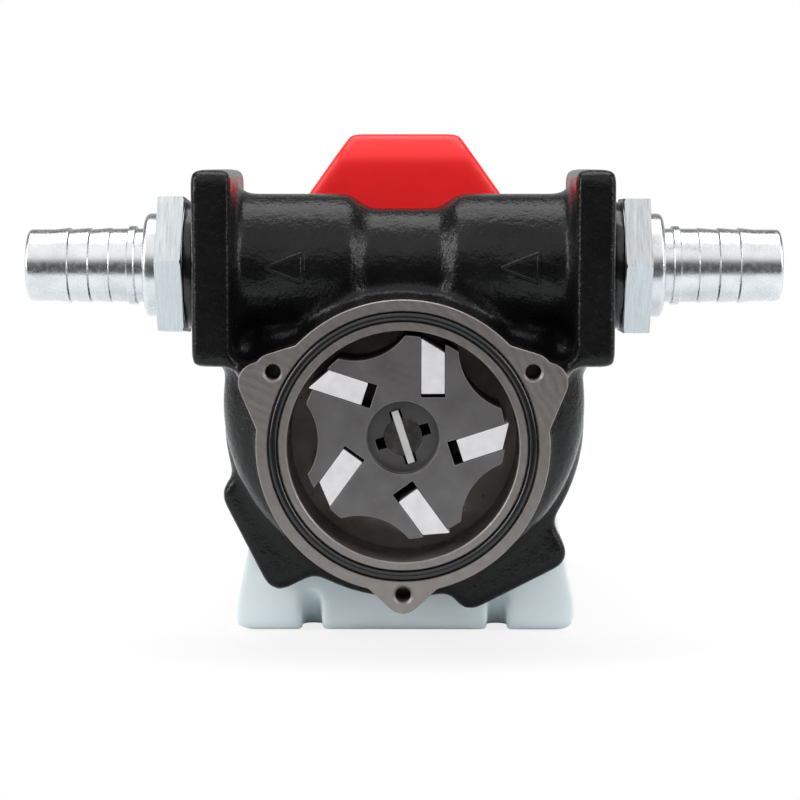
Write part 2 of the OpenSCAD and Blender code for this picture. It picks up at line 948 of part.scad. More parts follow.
module motor_end_cap() {
    inside_r = motor_r - motor_wall - cap_shell;
    color([0.06, 0.06, 0.065])
        difference() {
            turned_y(axis_h)
                drum_profile(motor_r, cap_round, motor_end_y, cap_y);
            bar_y(0, axis_h, inside_r, cap_y - over, rear_bearing_y);
            bar_y(0, axis_h, bearing_r, rear_bearing_y - over, rear_bearing_y + bearing_w);
            for (side = [-1, 1])
                bar_y(0, axis_h + side * tie_off, tie_r + seat_c, cap_y - over, motor_end_y + over);
        }
}

module brush_holder() {
    color([0.55, 0.5, 0.42])
        difference() {
            slab(holder_y, holder_y + holder_t)
                translate([0, axis_h])
                    difference() {
                        circle(magnet_r - seat_c);
                        circle(comm_r + guide_wall);
                        for (side = [-1, 1])
                            translate([0, side * tie_off])
                                circle(tie_r + run_c);
                    }
        }
    color([0.55, 0.5, 0.42])
        for (side = [-1, 1])
            difference() {
                brush_guide(side, guide_wall, holder_y + fit_c);
                brush_guide(side, seat_c, holder_y + 2 * over);
            }
}

// The box round one brush, grown by a margin, up to a given Y
module brush_guide(side, margin, y_back) {
    x0 = brush_in_r + guide_wall;
    length = brush_l + 2 * spring_r;
    translate([side * (x0 + length / 2) - length / 2, brush_y - brush_w / 2 - margin,
        axis_h - brush_h / 2 - margin])
        cube([length, y_back - brush_y + brush_w / 2 + margin, brush_h + 2 * margin]);
}

module brushes() {
    color([0.2, 0.2, 0.2])
        for (side = [-1, 1])
            translate([side * (brush_in_r + brush_l / 2) - brush_l / 2, brush_y - brush_w / 2,
                axis_h - brush_h / 2])
                cube([brush_l, brush_w, brush_h]);
}

module brush_springs() {
    x0 = brush_in_r + brush_l;
    x1 = magnet_r - seat_c;
    color([0.7, 0.7, 0.7])
        for (side = [-1, 1])
            difference() {
                bar_x(brush_y, axis_h, spring_r, min(side * x0, side * x1), max(side * x0, side * x1));
                bar_x(brush_y, axis_h, spring_r - spring_wire, min(side * x0, side * x1) - over,
                    max(side * x0, side * x1) + over);
            }
}

module motor_screws() {
    head_r = screw_af / 2 / cos(30);
    color([0.72, 0.73, 0.75])
        for (i = [0 : 3])
            translate([0, 0, axis_h])
                rotate([0, -screw_turn - i * 90, 0])
                    translate([screw_pcd / 2, 0, 0])
                        rotate([-90, 0, 0]) {
                            translate([0, 0, web_y - lug_bite + over])
                                cylinder(r = screw_r, h = tube_y - web_y + lug_bite - over);
                            translate([0, 0, tube_y])
                                cylinder(r = head_r, h = screw_head, $fn = 6);
                        }
}

module tie_bolts() {
    color([0.72, 0.73, 0.75])
        for (side = [-1, 1]) {
            bar_y(0, axis_h + side * tie_off, tie_r, bell_y + plate_t, motor_end_y);
            bar_y(0, axis_h + side * tie_off, bolt_head_share * tie_r, motor_end_y, motor_end_y + tie_r);
        }
}

// The steel web and foot seen from +X: an L with a rounded outer corner
module bracket_l() {
    difference() {
        union() {
            translate([web_y, bend_r])
                square([plate_t, axis_h + motor_r + bell_ear_r + tube_r]);
            translate([web_y + bend_r, 0])
                square([foot_l - bend_r, plate_t]);
            translate([web_y + bend_r, bend_r])
                circle(bend_r);
        }
        translate([web_y + bend_r, bend_r])
            circle(bend_r - plate_t);
        translate([web_y + bend_r, plate_t])
            square(foot_l);
        translate([web_y + plate_t, bend_r])
            square(foot_l);
    }
}

module web_outline() {
    top_half = web_half - slant_in;
    translate([0, web_corner])
        polygon([[-web_half, 0], [web_half, 0], [web_half, slant_h - web_corner],
            [top_half, axis_h - web_corner], [-top_half, axis_h - web_corner],
            [-web_half, slant_h - web_corner]]);
    translate([-web_half + web_corner, -over])
        square([2 * (web_half - web_corner), web_corner + 2 * over]);
    for (side = [-1, 1])
        translate([side * (web_half - web_corner), web_corner])
            circle(web_corner);
    translate([0, axis_h])
        circle(web_disc_r);
    each_motor_screw()
        circle(bell_ear_r);
}

module foot_outline() {
    half_l = foot_l / 2;
    translate([0, web_y + half_l])
        round_rect(2 * foot_half, foot_l, foot_corner);
    translate([-foot_half, web_y - over])
        square([2 * foot_half, half_l]);
    translate([-web_half, web_y - over])
        square([2 * web_half, bend_r + over]);
}

// A round bar at 45 degrees across the bend, at each dart
module dart_bar(r) {
    reach = 2 * dart_h;
    for (side = [-1, 1])
        translate([side * dart_x, web_y + dart_h / 2, dart_h / 2])
            rotate([45, 0, 0])
                translate([0, 0, -reach / 2])
                    cylinder(r = r, h = reach);
}

// The dents that the press leaves on the outer side of the bend
module dart_dent() {
    reach = 4 * dart_h;
    dart_bar(dart_inner_r);
    for (side = [-1, 1])
        translate([side * dart_x, web_y + dart_h / 2, dart_h / 2])
            rotate([45, 0, 0])
                translate([-dart_inner_r, -dart_h, -reach / 2])
                    cube([2 * dart_inner_r, dart_h, reach]);
}

module base_bracket() {
    color([0.72, 0.8, 0.84])
        difference() {
            intersection() {
                union() {
                    across_x(2 * web_half + over)
                        bracket_l();
                    dart_bar(dart_r);
                }
                slab(web_y, web_y + foot_l)
                    web_outline();
                linear_extrude(axis_h * 3)
                    foot_outline();
            }
            dart_dent();
            for (side = [-1, 1], end = [-1, 1])
                translate([side * hole_span_x / 2, end * hole_span_y / 2, -over])
                    cylinder(r = hole_r, h = plate_t + 2 * over);
            bar_y(0, axis_h, web_hole_r, web_y - over, bell_y + over);
            slab(web_y - over, bell_y + over)
                each_motor_screw()
                    circle(bell_hole_r);
        }
}

// One hose tail with its thread on the inner side, drawn for the +X port
module hose_tail() {
    crest_drop = barb_r - land_r;
    difference() {
        union() {
            translate([hex_x0, port_y, port_z])
                rotate([0, 90, 0])
                    rotate(90)
                        cylinder(r = hex_corner_r, h = hex_t, $fn = 6);
            turned_x(port_y, port_z)
                polygon(concat(
                    [[0, thread_x0], [thread_r - fit_c, thread_x0], [thread_r - fit_c, hex_x0 + over],
                    [collar_r, hex_x0 + over], [collar_r, neck_x0 - collar_round],
                    [collar_r - collar_round / 3, neck_x0 - collar_round / 3],
                    [collar_r - collar_round, neck_x0], [neck_r, neck_x0], [neck_r, stop_x0],
                    [stop_r, stop_x0], [stop_r, stop_x0 + stop_l], [neck_r, stop_x0 + stop_l]],
                    [[neck_r, barb_x0 - crest_drop]],
                    [for (i = [0 : barb_count - 2], edge = [0, 1])
                        edge == 0 ? [barb_r, barb_x0 + i * barb_pitch]
                            : [land_r, barb_x0 + (i + 1) * barb_pitch - crest_drop]],
                    [[barb_r, last_barb_x], [land_r, last_barb_x + barb_taper],
                    [land_r, tail_end - end_round], [land_r - end_round / 3, tail_end - end_round / 3],
                    [land_r - end_round, tail_end], [0, tail_end]]
                ));
        }
        bar_x(port_y, port_z, tail_bore_r, thread_x0 - over, tail_end + over);
    }
}

module inlet_tail() {
    color([0.8, 0.82, 0.84])
        hose_tail();
}

module outlet_tail() {
    color([0.8, 0.82, 0.84])
        mirror([1, 0, 0])
            hose_tail();
}

module port_seals() {
    color([0.04, 0.04, 0.04])
        for (side = [0, 1])
            mirror([side, 0, 0])
                turned_x(port_y, port_z)
                    translate([thread_r + seat_c, seal_x0])
                        square([port_seal_r - thread_r - seat_c, port_seal_t]);
}

// A slotted cup that the inlet tail holds against the step of the port bore
module inlet_strainer() {
    x1 = flange_out - thread_d;
    x0 = x1 - strainer_l;
    color([0.75, 0.72, 0.6])
        difference() {
            union() {
                bar_x(port_y, port_z, strainer_r, x0, x1);
                bar_x(port_y, port_z, port_r + strainer_rim, x1, x1 + strainer_rim_t);
            }
            bar_x(port_y, port_z, strainer_r - strainer_wall, x0 + strainer_wall, x1 + over);
            for (i = [0 : strainer_slots - 1])
                translate([0, port_y, port_z])
                    rotate([i * 180 / strainer_slots, 0, 0])
                        translate([x0 + strainer_rim, -2 * strainer_r, -strainer_slot_w / 2])
                            cube([strainer_l - 2 * strainer_rim, 4 * strainer_r, strainer_slot_w]);
        }
}

module bypass_poppet() {
    head_x = -seat_x;
    color([0.78, 0.66, 0.35])
        turned_x(valve_y, port_z)
            polygon([
                [0, head_x - over], [seat_r - 2 * stem_play, head_x - over],
                [seat_r - 2 * stem_play, head_x], [poppet_r, head_x],
                [poppet_r, head_x + poppet_t], [stem_r, head_x + poppet_t],
                [stem_r, wall_half - poppet_travel / 2], [0, wall_half - poppet_travel / 2]
            ]);
}

module bypass_spring() {
    x0 = -seat_x + poppet_t;
    x1 = wall_half - guide_t;
    wire = stem_r / 2;
    color([0.7, 0.7, 0.72])
        turned_x(valve_y, port_z)
            translate([stem_r + wire, x0])
                square([wire, x1 - x0]);
}

module bypass_plug() {
    x0 = wall_half - guide_t;
    color([0.7, 0.7, 0.72])
        difference() {
            bar_x(valve_y, port_z, valve_r, x0, wall_half);
            bar_x(valve_y, port_z, stem_r + stem_play, x0 - over, wall_half + over);
            for (i = [0 : flow_hole_count - 1])
                translate([0, valve_y, port_z])
                    rotate([45 + i * 360 / flow_hole_count, 0, 0])
                        translate([0, 0, -valve_y + port_y])
                            bar_x(valve_r - 2 * flow_hole_r, 0, flow_hole_r, x0 - over, wall_half + over);
        }
}

// The handle seen from the front: flat top, slanted sides, upright flanks and a drawn-in skirt
module handle_outline() {
    flank_z = handle_z - slant_drop;
    skirt_z = pad_z + skirt_rise;
    low_z = axis_h + motor_r / 2;
    polygon([
        [top_half, handle_z], [leg_half, flank_z], [leg_half, skirt_z + skirt_h],
        [pad_half, skirt_z], [pad_half, low_z], [-pad_half, low_z],
        [-pad_half, skirt_z], [-leg_half, skirt_z + skirt_h], [-leg_half, flank_z],
        [-top_half, handle_z]
    ]);
}

module gap_outline() {
    r = handle_round;
    translate([(gap_y0 + gap_y1) / 2, (gap_low_z + gap_top_z) / 2])
        round_rect(gap_y1 - gap_y0, gap_top_z - gap_low_z, r);
    translate([gap_y0 + ledge_l, pad_z - motor_r])
        square([gap_y1 - gap_y0 - 2 * ledge_l, motor_r + ledge_t + r]);
}

// The wedge taken off the front top edge, seen from +X
module facet_outline() {
    lean = facet_d / facet_h;
    polygon([
        [handle_y - over, handle_z - facet_h - over / lean],
        [handle_y + facet_d + over * lean, handle_z + over], [handle_y - over, handle_z + over]
    ]);
}

module handle_housing() {
    color([0.85, 0.1, 0.1])
        difference() {
            slab(handle_y, handle_end_y)
                handle_outline();
            across_x(3 * leg_half) {
                gap_outline();
                facet_outline();
            }
            slab(handle_y - over, tube_y + run_c)
                bell_ears(run_c);
            bar_y(0, axis_h, motor_r + fit_c, handle_y - over, handle_end_y + over);
            slab(handle_end_y - switch_d - over, handle_end_y + over)
                translate([0, switch_z])
                    square([switch_w + 2 * seat_c, switch_h + 2 * seat_c], center = true);
            for (y = [gap_y0 + handle_screw_in, gap_y1 - handle_screw_in])
                translate([0, y, pad_z - motor_r / 4])
                    cylinder(r = handle_screw_r + seat_c, h = motor_r);
            bar_x(gland_y, gland_z, gland_r + fit_c, leg_half - gland_thread_l, leg_half + over);
            bar_x(gland_y, gland_z, lead_r, -lead_r, leg_half);
            translate([0, gland_y, pad_z - motor_wall])
                cylinder(r = lead_r, h = switch_z - pad_z);
        }
}

module handle_screws() {
    color([0.72, 0.73, 0.75])
        for (y = [gap_y0 + handle_screw_in, gap_y1 - handle_screw_in])
            translate([0, y, gap_low_z]) {
                cylinder(r = handle_screw_head_r, h = handle_screw_head);
                translate([0, 0, -ledge_t + fit_c])
                    cylinder(r = handle_screw_r, h = ledge_t);
            }
}

module switch_body() {
    color([0.05, 0.05, 0.05])
        difference() {
            union() {
                slab(switch_y - switch_d, switch_y)
                    translate([0, switch_z])
                        square([switch_w, switch_h], center = true);
                slab(switch_y, switch_y + bezel_t)
                    translate([0, switch_z])
                        round_rect(switch_w + 2 * bezel_w, switch_h + 2 * bezel_w, bezel_w);
            }
            slab(rocker_pivot_y - rocker_depth - run_c, switch_y + bezel_t + over)
                translate([0, switch_z])
                    square([rocker_w + 2 * run_c, rocker_h + 2 * run_c], center = true);
            bar_x(rocker_pivot_y - rocker_depth / 2, switch_z, rocker_pin_r + fit_c, -switch_w / 2 - over,
                switch_w / 2 + over);
        }
}

// The rocker seen from +X, level, with its pin at the origin
module rocker_outline() {
    half = rocker_h / 2 - run_c;
    low = rocker_depth / 2 - 3 * run_c;
    polygon([
        [-low, -half * rocker_foot_share], [-low, half * rocker_foot_share],
        [low, half * rocker_side_share], [low + rocker_crown, half * rocker_edge_share],
        [low + rocker_crown * rocker_dip_share, 0],
        [low + rocker_crown, -half * rocker_edge_share], [low, -half * rocker_side_share]
    ]);
}

module switch_rocker() {
    color([0.1, 0.1, 0.1])
        translate([0, rocker_pivot_y - rocker_depth / 2, switch_z])
            rotate([-rocker_tilt, 0, 0]) {
                across_x(rocker_w)
                    rocker_outline();
                across_x(switch_w - 4 * fit_c)
                    circle(rocker_pin_r);
            }
}

module cable_gland() {
    x0 = leg_half - gland_thread_l + seat_c;
    nut_x = leg_half;
    neck = gland_hex_r * gland_neck_share;
    color([0.06, 0.06, 0.06])
        difference() {
            union() {
                bar_x(gland_y, gland_z, gland_r, x0, nut_x);
                translate([nut_x, gland_y, gland_z])
                    rotate([0, 90, 0])
                        cylinder(r = gland_hex_r, h = gland_l / 3, $fn = 6);
                turned_x(gland_y, gland_z)
                    polygon([
                        [0, nut_x], [neck, nut_x], [neck, nut_x + gland_l * gland_body_share],
                        [gland_r * gland_mouth_share, nut_x + gland_l], [0, nut_x + gland_l]
                    ]);
            }
            bar_x(gland_y, gland_z, gland_bore_r, x0 - over, nut_x + gland_l + over);
        }
}

pump_casting();
cover_o_ring();
rotor();
vane(0);  // vane_1
vane(1);  // vane_2
vane(2);  // vane_3
vane(3);  // vane_4
vane(4);  // vane_5
drive_blade();
motor_shaft();
shaft_seal();
front_bearing();
rear_bearing();
armature_core();
windings();
commutator();
magnets();
motor_tube();
motor_bell();
motor_end_cap();
brush_holder();
brushes();
brush_springs();
motor_screws();
tie_bolts();
base_bracket();
inlet_tail();
outlet_tail();
port_seals();
inlet_strainer();
bypass_poppet();
bypass_spring();
bypass_plug();
handle_housing();
handle_screws();
switch_body();
switch_rocker();
cable_gland();
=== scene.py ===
"""Looks of the vane transfer pump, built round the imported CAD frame. Metres, +Z up, pump face to -Y."""
import math

import bmesh
import bpy
import numpy as np
from mathutils import Matrix, Vector
from mathutils.bvhtree import BVHTree


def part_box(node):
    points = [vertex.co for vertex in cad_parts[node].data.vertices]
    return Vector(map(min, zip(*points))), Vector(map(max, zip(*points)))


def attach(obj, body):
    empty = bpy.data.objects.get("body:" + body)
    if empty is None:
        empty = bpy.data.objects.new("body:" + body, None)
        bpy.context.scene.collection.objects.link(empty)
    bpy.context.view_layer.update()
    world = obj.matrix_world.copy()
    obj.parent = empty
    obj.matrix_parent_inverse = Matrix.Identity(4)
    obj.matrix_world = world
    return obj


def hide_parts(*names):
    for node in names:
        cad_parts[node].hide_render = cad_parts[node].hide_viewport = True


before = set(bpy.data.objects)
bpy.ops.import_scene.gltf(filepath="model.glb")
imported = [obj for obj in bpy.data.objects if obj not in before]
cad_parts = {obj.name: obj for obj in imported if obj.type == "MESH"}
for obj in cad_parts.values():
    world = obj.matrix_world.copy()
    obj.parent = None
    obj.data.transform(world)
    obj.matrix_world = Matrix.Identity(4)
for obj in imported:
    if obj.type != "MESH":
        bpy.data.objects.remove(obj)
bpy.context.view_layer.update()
MM = 0.001
WELD = 0.001 * MM

# Places read from the frame
casting_low, casting_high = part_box("pump_casting")
rotor_low, rotor_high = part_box("rotor")
shaft_low, shaft_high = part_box("motor_shaft")
oring_low, oring_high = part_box("cover_o_ring")
tail_low, tail_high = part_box("inlet_tail")
handle_end_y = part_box("handle_housing")[1].y
FACE_Y = casting_low.y
REAR_Y = casting_high.y
AXIS_Z = (shaft_low.z + shaft_high.z) / 2
BORE_Z = (oring_low.z + oring_high.z) / 2
PORT_Z = (tail_low.z + tail_high.z) / 2
PORT_Y = (tail_low.y + tail_high.y) / 2
FLOOR_Y = rotor_high.y + 0.15 * MM

# Sizes of the machined front
BORE_R = 30.5 * MM
RING_R = 38.6 * MM
GROOVE_R = 32.7 * MM
GROOVE_W = 2.9 * MM
GROOVE_D = 2.0 * MM
EAR_PCD_R = 39.25 * MM
EAR_R = 4.9 * MM
EAR_ROOT_R = RING_R - EAR_R
EAR_ANGLES = (30, 150, 270)
LOBE_REACH = 41.5 * MM
LOBE_R = 5.2 * MM
LOBE_ANGLES = (24, 156)
HOLE_R = 2.1 * MM
HOLE_DEPTH = 12 * MM
SINK = 0.6 * MM
TUBE_R = 19.3 * MM
PORT_R = 12.4 * MM


def link(obj):
    """The object, put in the scene."""
    bpy.context.scene.collection.objects.link(obj)
    return obj


def mesh_object(name, verts, faces, smooth=True):
    """A mesh object from points and faces, with its normals outward."""
    mesh = bpy.data.meshes.new(name)
    mesh.from_pydata([tuple(v) for v in verts], [], faces)
    work = bmesh.new()
    work.from_mesh(mesh)
    bmesh.ops.remove_doubles(work, verts=work.verts, dist=1e-7)
    bmesh.ops.recalc_face_normals(work, faces=work.faces)
    work.to_mesh(mesh)
    work.free()
    mesh.polygons.foreach_set("use_smooth", [smooth] * len(mesh.polygons))
    return link(bpy.data.objects.new(name, mesh))


def joined(name, parts):
    """One object with the meshes of several, which are removed."""
    work = bmesh.new()
    for part in parts:
        work.from_mesh(part.data)
    mesh = bpy.data.meshes.new(name)
    work.to_mesh(mesh)
    work.free()
    for part in parts:
        bpy.data.objects.remove(part)
    return link(bpy.data.objects.new(name, mesh))


def applied(obj):
    """The object with its modifiers worked into its mesh."""
    depsgraph = bpy.context.evaluated_depsgraph_get()
    made = bpy.data.meshes.new_from_object(obj.evaluated_get(depsgraph))
    obj.modifiers.clear()
    old = obj.data
    obj.data = made
    bpy.data.meshes.remove(old)
    return obj


def sharp_by_angle(obj, degrees=35):
    """Marks the edges over an angle as sharp, so that smooth shading stops there."""
    work = bmesh.new()
    work.from_mesh(obj.data)
    limit = math.radians(degrees)
    for edge in work.edges:
        edge.smooth = not (len(edge.link_faces) == 2 and edge.calc_face_angle(0) > limit)
    work.to_mesh(obj.data)
    work.free()


def lathe(name, profile, origin, axis, steps=96):
    """A closed profile of (radius, along) points turned about an axis, "X" or "Y", through origin."""
    verts = []
    faces = []
    count = len(profile)
    for i in range(steps):
        turn = 2 * math.pi * i / steps
        for radius, along in profile:
            side, up = radius * math.cos(turn), radius * math.sin(turn)
            local = Vector((along, side, up)) if axis == "X" else Vector((side, along, up))
            verts.append(Vector(origin) + local)
    for i in range(steps):
        j = (i + 1) % steps
        for k in range(count):
            m = (k + 1) % count
            if profile[k][0] < 1e-9 and profile[m][0] < 1e-9:
                continue
            faces.append([i * count + k, i * count + m, j * count + m, j * count + k])
    made = mesh_object(name, verts, faces)
    sharp_by_angle(made, 28)
    return made


def finish_piece(obj, body, material, slot, *replaced):
    """Gives a piece its material, the body that it rides on and the nodes that it hides; slot is not used.
    """
    obj.data.materials.clear()
    obj.data.materials.append(material)
    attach(obj, body)
    if replaced:
        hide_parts(*replaced)
    return obj


# Node trees


class Nodes:
    """Short calls for the nodes of one tree."""

    def __init__(self, tree):
        self.tree = tree

    def node(self, kind, **settings):
        made = self.tree.nodes.new(kind)
        for key, value in settings.items():
            setattr(made, key, value)
        return made

    def wire(self, source, target):
        self.tree.links.new(source, target)

    def feed(self, value, socket):
        if isinstance(value, (int, float)):
            socket.default_value = value
        else:
            self.wire(value, socket)

    def math(self, operation, *values):
        made = self.node("ShaderNodeMath", operation=operation)
        for value, socket in zip(values, made.inputs):
            self.feed(value, socket)
        return made.outputs[0]

    def smooth(self, value, start, end):
        """0 at start and 1 at end, with an eased step between."""
        made = self.node("ShaderNodeMapRange", interpolation_type="SMOOTHSTEP")
        self.feed(value, made.inputs["Value"])
        made.inputs["From Min"].default_value = start
        made.inputs["From Max"].default_value = end
        return made.outputs[0]

    def stops(self, factor, *pairs):
        """A colour ramp through (position, grey or colour) pairs."""
        made = self.node("ShaderNodeValToRGB")
        elements = made.color_ramp.elements
        while len(elements) < len(pairs):
            elements.new(0.5)
        for element, (position, value) in zip(elements, pairs):
            element.position = position
            element.color = (value, value, value, 1) if isinstance(value, (int, float)) else (*value, 1)
        self.feed(factor, made.inputs["Fac"])
        return made.outputs["Color"]


class Shader(Nodes):
    """A Principled material with short calls for its texture nodes, in the frame's own coordinates."""

    def __init__(self, name, colour, roughness, metallic=0.0, **sockets):
        self.material = bpy.data.materials.new(name)
        self.material.use_nodes = True
        super().__init__(self.material.node_tree)
        self.bsdf = self.tree.nodes["Principled BSDF"]
        self.bsdf.inputs["Base Color"].default_value = (*colour, 1)
        self.bsdf.inputs["Roughness"].default_value = roughness
        self.bsdf.inputs["Metallic"].default_value = metallic
        for key, value in sockets.items():
            self.bsdf.inputs[key.replace("_", " ")].default_value = value
        self.coords = self.node("ShaderNodeTexCoord").outputs["Object"]

    def mapped(self, scale=(1, 1, 1), location=(0, 0, 0)):
        mapping = self.node("ShaderNodeMapping")
        mapping.inputs["Scale"].default_value = scale
        mapping.inputs["Location"].default_value = location
        self.wire(self.coords, mapping.inputs["Vector"])
        return mapping.outputs["Vector"]

    def along(self, axis):
        split = self.node("ShaderNodeSeparateXYZ")
        self.wire(self.coords, split.inputs[0])
        return split.outputs[axis]

    def noise(self, size, detail=3.0, roughness=0.5, vector=None):
        """Noise whose lumps are about size metres across."""
        made = self.node("ShaderNodeTexNoise")
        made.inputs["Scale"].default_value = 1 / size
        made.inputs["Detail"].default_value = detail
        made.inputs["Roughness"].default_value = roughness
        self.wire(vector or self.coords, made.inputs["Vector"])
        return made.outputs["Fac"]

    def rings(self, period, axis, location=(0, 0, 0), distortion=0.0):
        """Rings about a line along an axis, one every period metres."""
        made = self.node("ShaderNodeTexWave", wave_type="RINGS", rings_direction=axis)
        made.inputs["Scale"].default_value = 2 * math.pi / (20 * period)
        made.inputs["Distortion"].default_value = distortion
        made.inputs["Detail"].default_value = 1.5
        self.wire(self.mapped(location=location), made.inputs["Vector"])
        return made.outputs["Fac"]

    def bands(self, period, axis, distortion=0.0):
        made = self.node("ShaderNodeTexWave", wave_type="BANDS", bands_direction=axis)
        made.inputs["Scale"].default_value = 2 * math.pi / (20 * period)
        made.inputs["Distortion"].default_value = distortion
        self.wire(self.coords, made.inputs["Vector"])
        return made.outputs["Fac"]

    def colour(self, factor, low, high, start=0.3, end=0.7):
        self.wire(self.stops(factor, (start, low), (end, high)), self.bsdf.inputs["Base Color"])

    def rough(self, factor, low, high, start=0.3, end=0.7):
        self.wire(self.stops(factor, (start, low), (end, high)), self.bsdf.inputs["Roughness"])

    def bump(self, *heights):
        """Stacks (factor, depth in metres) pairs as bumps."""
        normal = None
        for factor, depth in heights:
            made = self.node("ShaderNodeBump")
            made.inputs["Strength"].default_value = 1.0
            made.inputs["Distance"].default_value = depth
            self.wire(factor, made.inputs["Height"])
            if normal:
                self.wire(normal, made.inputs["Normal"])
            normal = made.outputs["Normal"]
        self.wire(normal, self.bsdf.inputs["Normal"])


# Materials


def make_cast_black():
    """Glossy paint over cast skin: fine orange peel on weak lumps."""
    shader = Shader("cast_black", (0.005, 0.005, 0.005), 0.24, Specular_IOR_Level=0.23)
    lumps = shader.noise(2.6 * MM, 2.0)
    grain = shader.noise(0.8 * MM, 2.0, 0.6)
    shader.colour(shader.noise(14 * MM), (0.004, 0.004, 0.004), (0.008, 0.0078, 0.0076))
    shader.rough(grain, 0.16, 0.3)
    shader.bump((lumps, 0.25 * MM), (grain, 0.12 * MM))
    return shader.material


def make_lug_black():
    """Thin, duller paint over coarse cast skin."""
    shader = Shader("lug_black", (0.006, 0.006, 0.006), 0.45, Specular_IOR_Level=0.22)
    lumps = shader.noise(1.6 * MM, 2.0)
    grain = shader.noise(0.55 * MM, 2.0)
    shader.rough(grain, 0.36, 0.58)
    shader.bump((lumps, 0.42 * MM), (grain, 0.2 * MM))
    return shader.material


def make_machined():
    """A milled iron face with faint arcs of the cutter."""
    shader = Shader("machined_iron", (0.26, 0.24, 0.225), 0.42, 0.8)
    arcs = shader.rings(2.3 * MM, "Y", (0.072, 0, -0.012), 6.0)
    shader.colour(shader.noise(3 * MM, 5.0, 0.6), (0.235, 0.21, 0.197), (0.285, 0.26, 0.247))
    shader.rough(arcs, 0.39, 0.46, 0.0, 1.0)
    shader.bump((shader.noise(0.7 * MM, 3.0), 0.006 * MM))
    return shader.material


def make_chamber():
    """The honed bore and the milled chamber floor, browned by fuel."""
    shader = Shader("chamber_iron", (0.26, 0.225, 0.205), 0.34, 0.65)
    hone = shader.bands(0.5 * MM, "Y", 0.5)
    shader.colour(shader.noise(9 * MM), (0.19, 0.16, 0.145), (0.31, 0.275, 0.255))
    shader.rough(shader.noise(3 * MM), 0.26, 0.42)
    shader.bump((hone, 0.01 * MM), (shader.noise(0.6 * MM), 0.008 * MM))
    return shader.material


def make_rotor():
    """Sintered steel, with painted shade that darkens it down in the hub recess."""
    shader = Shader("sintered_steel", (0.2, 0.19, 0.19), 0.42, 0.75)
    swirl = shader.rings(2.1 * MM, "Y", (0.012, 0, -0.05), 5.0)
    tone = shader.stops(shader.noise(6 * MM, 4.0), (0.3, (0.142, 0.134, 0.135)), (0.7, (0.19, 0.18, 0.181)))
    # Painted shade: the colour darkens with depth into the hub recess, down to 0.55 of it at 4 mm in
    depth = shader.smooth(shader.along("Y"), rotor_low.y + 0.3 * MM, rotor_low.y + 4 * MM)
    shade = shader.stops(depth, (0.0, 1.0), (1.0, 0.55))
    mix = shader.node("ShaderNodeMix", data_type="RGBA", blend_type="MULTIPLY")
    mix.inputs["Factor"].default_value = 1.0
    shader.wire(tone, mix.inputs["A"])
    shader.wire(shade, mix.inputs["B"])
    shader.wire(mix.outputs["Result"], shader.bsdf.inputs["Base Color"])
    shader.rough(swirl, 0.41, 0.44, 0.0, 1.0)
    shader.bump((shader.noise(0.35 * MM, 3.0), 0.006 * MM))
    return shader.material


def make_vane():
    shader = Shader("vane_polymer", (0.66, 0.64, 0.65), 0.5, Specular_IOR_Level=0.35)
    shader.colour(shader.noise(3 * MM, 4.0), (0.6, 0.58, 0.59), (0.7, 0.68, 0.69))
    shader.rough(shader.noise(1 * MM), 0.42, 0.6)
    shader.bump((shader.noise(0.4 * MM, 3.0), 0.015 * MM))
    return shader.material


def make_steel(name, colour, roughness, turned=None, mottled=0.12):
    """Bright steel, with turning lines every turned metres along X if given."""
    shader = Shader(name, colour, roughness, 1.0)
    low = tuple(c * (1 - mottled) for c in colour)
    high = tuple(min(1, c * (1 + mottled / 2)) for c in colour)
    shader.colour(shader.noise(7 * MM, 4.0), low, high)
    shader.rough(shader.noise(1.5 * MM), roughness * 0.8, roughness * 1.25)
    if turned:
        fine, coarse = shader.bands(turned, "X", 0.2), shader.bands(turned * 3.3, "X", 0.8)
        shader.bump((fine, 0.006 * MM), (coarse, 0.01 * MM))
    else:
        shader.bump((shader.noise(0.4 * MM), 0.008 * MM))
    return shader.material


def make_hex_steel():
    """Brushed flats: fine scratches that run along the flats, with a faint blue cast."""
    shader = Shader("zinc_hexagon", (0.74, 0.77, 0.79), 0.3, 1.0)
    scratches = shader.noise(0.5 * MM, 4.0, 0.7, shader.mapped(scale=(1, 0.06, 0.06)))
    shader.colour(scratches, (0.45, 0.48, 0.5), (0.62, 0.645, 0.655))
    shader.rough(scratches, 0.24, 0.4)
    shader.bump((scratches, 0.012 * MM))
    return shader.material


def make_bracket():
    """Blue passivated zinc on sheet steel, clouded."""
    shader = Shader("zinc_blue", (0.86, 0.93, 0.95), 0.36, 0.12)
    cloud = shader.noise(16 * MM, 4.0)
    shader.colour(cloud, (0.82, 0.91, 0.93), (0.9, 0.96, 0.97))
    shader.rough(shader.noise(2 * MM), 0.3, 0.44)
    shader.bump((shader.noise(0.5 * MM, 2.0), 0.012 * MM), (cloud, 0.05 * MM))
    return shader.material


def make_red():
    shader = Shader("red_plastic", (0.72, 0.012, 0.014), 0.34, Specular_IOR_Level=0.4)
    shader.colour(shader.noise(20 * MM), (0.94, 0.014, 0.016), (0.99, 0.018, 0.02))
    shader.rough(shader.noise(2 * MM), 0.3, 0.4)
    shader.bump((shader.noise(0.5 * MM, 2.0), 0.012 * MM))
    return shader.material


def make_plain(name, colour, roughness, metallic=0.0, grain=0.5 * MM, depth=0.02 * MM):
    """A quiet finish for rubber, moulded plastic, paint and hidden parts."""
    shader = Shader(name, colour, roughness, metallic)
    low = tuple(c * 0.85 for c in colour)
    high = tuple(min(1, c * 1.12) for c in colour)
    shader.colour(shader.noise(9 * MM, 3.0), low, high)
    shader.rough(shader.noise(2 * MM), roughness * 0.85, min(1, roughness * 1.15))
    shader.bump((shader.noise(grain, 2.0), depth))
    return shader.material


